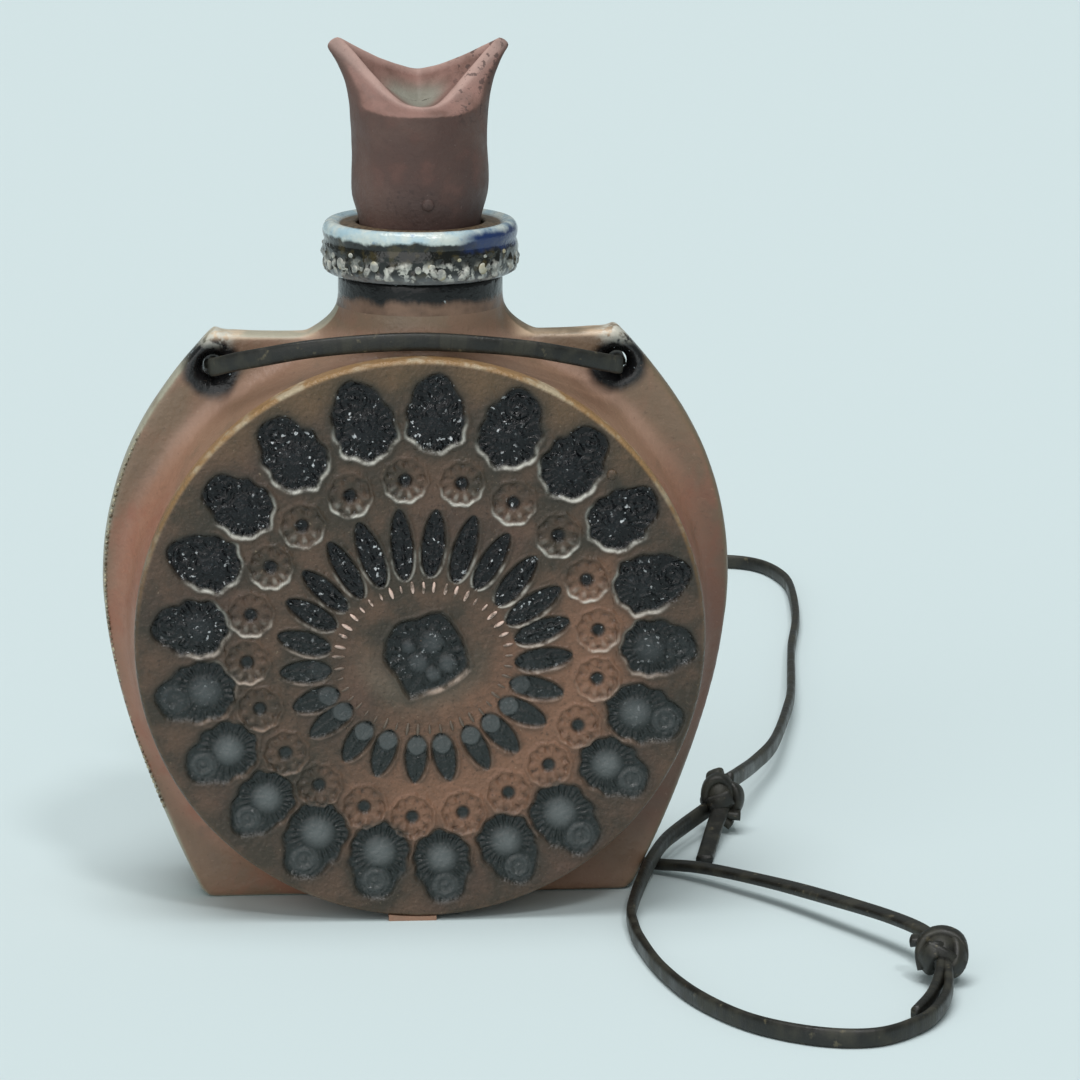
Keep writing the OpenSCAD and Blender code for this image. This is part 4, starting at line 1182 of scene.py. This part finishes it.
def tooth_finish():
    """The toothed corner: dark clay with ash on the teeth's heads."""
    n = Nodes("tooth_clay")
    patch = n.noise(1.6, 3)
    colour = n.mix(n.ramp(patch, 0.42, 0.6), rgb(84, 74, 58), rgb(182, 176, 150))
    return n.finish(colour, 0.3, n.bump(n.noise(0.7, 3), 0.1, 0.5), IOR=1.5)


def tick_finish():
    """Short raised ticks, with painted pinkish-white glints on the higher ones, where the top light
    catches them.
    """
    n = Nodes("tick_painted_glints")
    z, patch = n.axis("Z"), n.noise(2.2, 3)
    # painted glints: pinkish-white on the ticks above the slab's middle
    high = n.math("MULTIPLY", n.ramp(z, 62, 78), n.ramp(patch, 0.36, 0.56))
    colour = n.mix(high, rgb(100, 86, 74), rgb(226, 196, 182))
    return n.finish(colour, 0.28, n.bump(patch, 0.15, 0.5), IOR=1.52)


def neck_finish():
    """Red-brown neck under a run of dark, glossy glaze below the collar, with painted glints on the
    run.
    """
    n = Nodes("neck_clay_glazed")
    z = n.axis("Z")
    patch, grain = n.noise(9, 4), n.noise(1.3, 4, 0.65)
    streak = n.noise(5, 3, stretch=(1, 1, 0.35))
    run = n.ramp(n.math("ADD", z, n.math("MULTIPLY", streak, 5)), 154.8, 157.0)
    colour = n.mix(n.ramp(patch, 0.35, 0.65), rgb(98, 76, 62), rgb(134, 106, 88))
    colour = n.mix(n.ramp(z, 150, 145, 0, 0.7), colour, rgb(168, 136, 108))
    colour = n.mix(run, colour, rgb(14, 14, 15))
    # painted glints: bluish-white specks on the dark glaze run
    spark = n.math("MULTIPLY", run, n.ramp(n.noise(1.8, 2), 0.7, 0.76))
    colour = n.mix(n.math("MULTIPLY", spark, 0.7), colour, rgb(186, 196, 198))
    colour = n.mix(n.ramp(grain, 0.6, 0.8, 0, 0.4), colour, rgb(52, 42, 38))
    rough = n.math("SUBTRACT", n.ramp(patch, 0.3, 0.7, 0.3, 0.44), n.math("MULTIPLY", run, 0.22))
    normal = n.bump(grain, 0.2, 0.7)
    made = n.finish(colour, rough, n.bump(n.noise(2.4, 2), 0.4, 0.5, normal), IOR=1.5)
    n.shader.inputs["Specular IOR Level"].default_value = 0.35
    return made


def collar_finish():
    """Collar: milky blue-white glaze on the lip, an olive-black band, whitish runs, one blue pool.
    """
    n = Nodes("collar_ash_glaze")
    x, y, z = n.axis("X"), n.axis("Y"), n.axis("Z")
    patch, fine = n.noise(5, 4), n.noise(0.9, 3)
    shift = n.math("ADD", z, n.math("MULTIPLY", patch, 4))
    milk = n.mix(n.ramp(patch, 0.35, 0.65), rgb(170, 196, 206), rgb(204, 212, 206))
    milk = n.mix(n.ramp(n.noise(3, 3), 0.6, 0.7, 0, 0.6), milk, rgb(104, 136, 168))
    band = n.mix(n.ramp(n.noise(3, 3), 0.5, 0.66), rgb(14, 15, 11), rgb(58, 50, 26))
    crumbs = n.ramp(n.noise(2.3, 3), 0.5, 0.58)
    lower = n.math("MULTIPLY", crumbs, n.ramp(shift, 166.8, 163.6))
    band = n.mix(lower, band, n.mix(n.ramp(n.noise(2.6, 2), 0.4, 0.6), rgb(128, 128, 122),
                                    rgb(206, 204, 194)))
    foot = n.math("MULTIPLY", n.ramp(shift, 163.4, 160.8), n.ramp(patch, 0.35, 0.5, 0.35, 0.9))
    band = n.mix(foot, band, rgb(128, 130, 132))
    colour = n.mix(n.ramp(shift, 170.2, 171.2), band, milk)
    colour = n.mix(n.ramp(n.value("bead"), 0.35, 0.8, 0, 0.7), colour,
                   n.mix(n.ramp(fine, 0.4, 0.6), rgb(150, 148, 142), rgb(210, 208, 198)))
    blue = n.math("MULTIPLY", n.ramp(n.math("ADD", x, n.math("MULTIPLY", patch, 8)), 13, 19),
                  n.ramp(y, 2, -6))
    blue = n.math("MULTIPLY", blue, n.ramp(shift, 167.4, 169.0))
    colour = n.mix(n.math("MULTIPLY", blue, n.ramp(shift, 173.8, 171.8)), colour, rgb(24, 46, 92))
    colour = n.mix(n.value("mouth"), colour, n.mix(n.ramp(fine, 0.4, 0.6), rgb(76, 62, 48),
                                                   rgb(112, 94, 72)))
    colour = n.mix(n.ramp(fine, 0.64, 0.78, 0, 0.4), colour, rgb(70, 66, 56))
    rough = n.math("ADD", n.ramp(patch, 0.3, 0.7, 0.1, 0.24),
                   n.math("MULTIPLY", n.value("mouth"), 0.3))
    normal = n.bump(n.noise(1.7, 2), 0.4, 0.5, n.bump(fine, 0.14, 0.6))
    return n.finish(colour, rough, normal, IOR=1.56)


def stopper_finish():
    """Dry, unglazed stopper clay: mauve-brown with light, pinkish worn lips and specks; its
    upward-facing faces painted lighter, as lit from above.
    """
    n = Nodes("stopper_bare_clay")
    x, z = n.axis("X"), n.axis("Z")
    cloud, patch, grain = n.noise(22, 3), n.noise(6, 4), n.noise(0.9, 4, 0.65)
    colour = n.mix(n.ramp(cloud, 0.35, 0.65), rgb(82, 60, 54), rgb(100, 77, 69))
    colour = n.mix(n.ramp(patch, 0.5, 0.72, 0, 0.35), colour, rgb(106, 70, 62))
    left = n.ramp(x, 2, -14)
    colour = n.mix(n.math("MULTIPLY", left, 0.25), colour, rgb(124, 98, 90))
    low = n.math("MULTIPLY", n.ramp(z, 188, 174), n.ramp(x, -12, 4))
    colour = n.mix(n.math("MULTIPLY", low, 0.5), colour, rgb(64, 50, 48))
    # painted light: faces that point up are made lighter and pinker, as lit from above
    top_lit = n.math("ADD", n.value("top_lit"), n.math("MULTIPLY", patch, 1.2))
    colour = n.mix(n.ramp(top_lit, 0.6, 1.7, 0, 0.8), colour,
                   n.mix(n.ramp(patch, 0.35, 0.65), rgb(124, 92, 82), rgb(150, 114, 104)))
    hollow = n.math("MULTIPLY", n.value("dish"), n.ramp(n.math("ABSOLUTE", x), 10, 4))
    colour = n.mix(n.math("MULTIPLY", hollow, 0.85), colour, rgb(136, 138, 126))
    lip = n.math("MULTIPLY", n.value("lip"), n.ramp(patch, 0.2, 0.6, 0.5, 1))
    colour = n.mix(n.math("MULTIPLY", lip, 0.65), colour, rgb(198, 166, 156))
    pitted = n.math("MULTIPLY", n.ramp(x, 7, 12), n.ramp(z, 194, 200))
    mauve = n.math("MULTIPLY", n.ramp(z, 186, 180), n.ramp(n.math("ABSOLUTE", x), 12, 3))
    pits = n.math("MULTIPLY", n.ramp(n.noise(1.5, 3), 0.54, 0.64),
                  n.math("MAXIMUM", n.math("MAXIMUM", pitted, n.math("MULTIPLY", mauve, 0.6)), 0.12))
    colour = n.mix(n.math("MULTIPLY", pits, 0.7), colour, rgb(56, 42, 40))
    colour = n.mix(n.ramp(grain, 0.36, 0.22, 0, 0.35), colour, rgb(166, 146, 138))
    colour = n.mix(n.ramp(grain, 0.62, 0.8, 0, 0.4), colour, rgb(50, 38, 36))
    normal = n.bump(n.noise(2.6, 3), 0.5, 0.45, n.bump(grain, 0.25, 0.7))
    return n.finish(colour, n.ramp(patch, 0.3, 0.7, 0.5, 0.72), normal, IOR=1.46)


def cork_finish():
    n = Nodes("cork_bark")
    patch, grain = n.noise(5, 4), n.noise(0.9, 3)
    colour = n.mix(n.ramp(patch, 0.35, 0.65), rgb(184, 142, 98), rgb(206, 170, 124))
    pores = n.ramp(n.spots(2.2), 0.3, 0.16)
    colour = n.mix(n.math("MULTIPLY", pores, n.ramp(patch, 0.45, 0.6)), colour, rgb(92, 58, 36))
    colour = n.mix(n.ramp(grain, 0.6, 0.75, 0, 0.4), colour, rgb(134, 96, 62))
    return n.finish(colour, 0.85, n.bump(grain, 0.25, 0.8), IOR=1.4)


def lace_finish():
    """Waxed flat lace, near black, rubbed olive-brown where it bends and lies."""
    n = Nodes("lace_leather_waxed")
    run = n.value("run")
    worn, grain = n.noise(7, 4), n.noise(0.55, 4, 0.6)
    crease = n.add("ShaderNodeTexNoise", noise_dimensions="1D")
    crease.inputs["Scale"].default_value = 420
    crease.inputs["Detail"].default_value = 3
    n.plug(run, crease.inputs["W"])
    colour = n.mix(n.ramp(worn, 0.42, 0.66), rgb(26, 26, 22), rgb(50, 49, 40))
    colour = n.mix(n.ramp(n.noise(2.4, 3), 0.62, 0.74, 0, 0.6), colour, rgb(106, 98, 76))
    colour = n.mix(n.ramp(crease.outputs["Fac"], 0.56, 0.68, 0, 0.5), colour, rgb(20, 19, 17))
    normal = n.bump(grain, 0.12, 0.7)
    normal = n.bump(crease.outputs["Fac"], 0.3, 0.4, normal)
    return n.finish(colour, n.ramp(worn, 0.35, 0.65, 0.38, 0.58), normal, IOR=1.5)


def dress(finish, *pieces):
    for piece in pieces:
        piece.data.materials.clear()
        piece.data.materials.append(finish)


def dress_node(finish, *nodes):
    for node in nodes:
        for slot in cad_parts[node].material_slots:
            slot.material = finish


clay, slab_glaze, bare_clay, lace_leather = (clay_finish(), slab_finish(), stopper_finish(),
                                             lace_finish())
dress(clay, front_shell, back_shell, back_slab)
dress(slab_glaze, *slab_pieces)
dress(neck_finish(), neck)
dress(collar_finish(), collar)
dress(bare_clay, grip)
dress(lace_leather, strap, right_lace, left_lace, hand_loop, knot_a, knot_b)
BEADS = bead_tree()
turn = np.arange(0, 360, 3)
ring = np.array(on_ring(TICK_RING, turn))
ticks = beads_along("slab_ticks", np.column_stack([ring[0], np.full(len(turn), -FACE_BASE),
                                                   DISC_Z + ring[1]]), True, tick_finish(),
                    2.75, (0.38, 1.25, 0.5), 0.3, (0.2, 0, 0.2), seed=3)
heights = np.linspace(24, 119, 60)
teeth = beads_along("edge_teeth", np.column_stack([0.75 - side_x(heights),
                                                   np.full(60, -EDGE_T + 0.1), heights]),
                    False, tooth_finish(), 1.35, (0.46, 0.34, 0.36), 0.25, seed=5)
def pressed_pellet(name, place, radius, thick, body):
    """A small flattened ball pressed on a surface that faces the front."""
    a = np.radians(np.linspace(6, 174, 15))
    profile = [(radius * math.sin(v) ** 0.8, -thick * math.cos(v)) for v in a]
    pellet = turned(name, profile, place, "Y", 28)
    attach(pellet, body)
    return pellet


dress(bare_clay, pressed_pellet("stopper_pellet", (2.7, -16.3, 177.2), 1.55, 0.75, "stopper"))
dress(slab_glaze, pressed_pellet("glaze_drop", (46.8, -FACE_BASE, DISC_Z + 41.1), 1.3, 0.7,
                                 "flask"))
a = np.radians(np.arange(0, 360, 3))
milky = bead_finish()
for name, z, pitch, bead, seed in (("collar_beads", 162.0, 5.6, (1.0, 1.1, 0.4), 7),
                                   ("collar_drops", 164.2, 7.3, (0.7, 0.6, 0.35), 8)):
    beads_along(name, np.column_stack([NECK_X + 24.0 * np.cos(a), 24.0 * np.sin(a),
                                       np.full(len(a), z)]), True, milky, pitch,
                (bead[0], bead[2], bead[1]), 0.45, (0.2, 0.2, 1.2), (0, 0, 1), seed)
dress_node(clay, "front_foot", "back_foot")
dress_node(cork_finish(), "cork_sleeve")
dress_node(bare_clay, "stopper_plug")


# ---- floor and light ----
def make_floor():
    mesh = bpy.data.meshes.new("floor")
    mesh.from_pydata([(-4, -4, 0), (4, -4, 0), (4, 6, 0), (-4, 6, 0)], [], [(0, 1, 2, 3)])
    floor = bpy.data.objects.new("floor", mesh)
    bpy.context.collection.objects.link(floor)
    n = Nodes("floor_paper")
    n.finish(rgb(209, 223, 225), 0.9, None, IOR=1.3)
    n.shader.inputs["Specular IOR Level"].default_value = 0.1
    dress(n.material, floor)


def make_sun(name, aim, power, width_deg):
    data = bpy.data.lights.new(name, "SUN")
    data.energy = power
    data.angle = math.radians(width_deg)
    sun = bpy.data.objects.new(name, data)
    bpy.context.collection.objects.link(sun)
    sun.rotation_euler = Vector(aim).to_track_quat("-Z", "Y").to_euler()


def make_world():
    world = bpy.data.worlds.new("studio")
    bpy.context.scene.world = world
    world.use_nodes = True
    tree = world.node_tree
    shade = tree.nodes["Background"]
    shade.inputs["Color"].default_value = (*rgb(214, 225, 224), 1)
    seen = tree.nodes.new("ShaderNodeBackground")
    seen.inputs["Color"].default_value = (*rgb(213, 225, 224), 1)
    shade.inputs["Strength"].default_value = 0.3
    ray = tree.nodes.new("ShaderNodeLightPath")
    mix = tree.nodes.new("ShaderNodeMixShader")
    tree.links.new(ray.outputs["Is Camera Ray"], mix.inputs[0])
    tree.links.new(shade.outputs[0], mix.inputs[1])
    tree.links.new(seen.outputs[0], mix.inputs[2])
    tree.links.new(mix.outputs[0], tree.nodes["World Output"].inputs[0])


make_floor()
make_world()
make_sun("overhead", (0.1, 0.1, -1), 1.85, 38)
make_sun("front_fill", (0.4, 1, -0.35), 1.0, 60)
make_sun("spark", (-0.25, 0.75, -1), 0.6, 8)
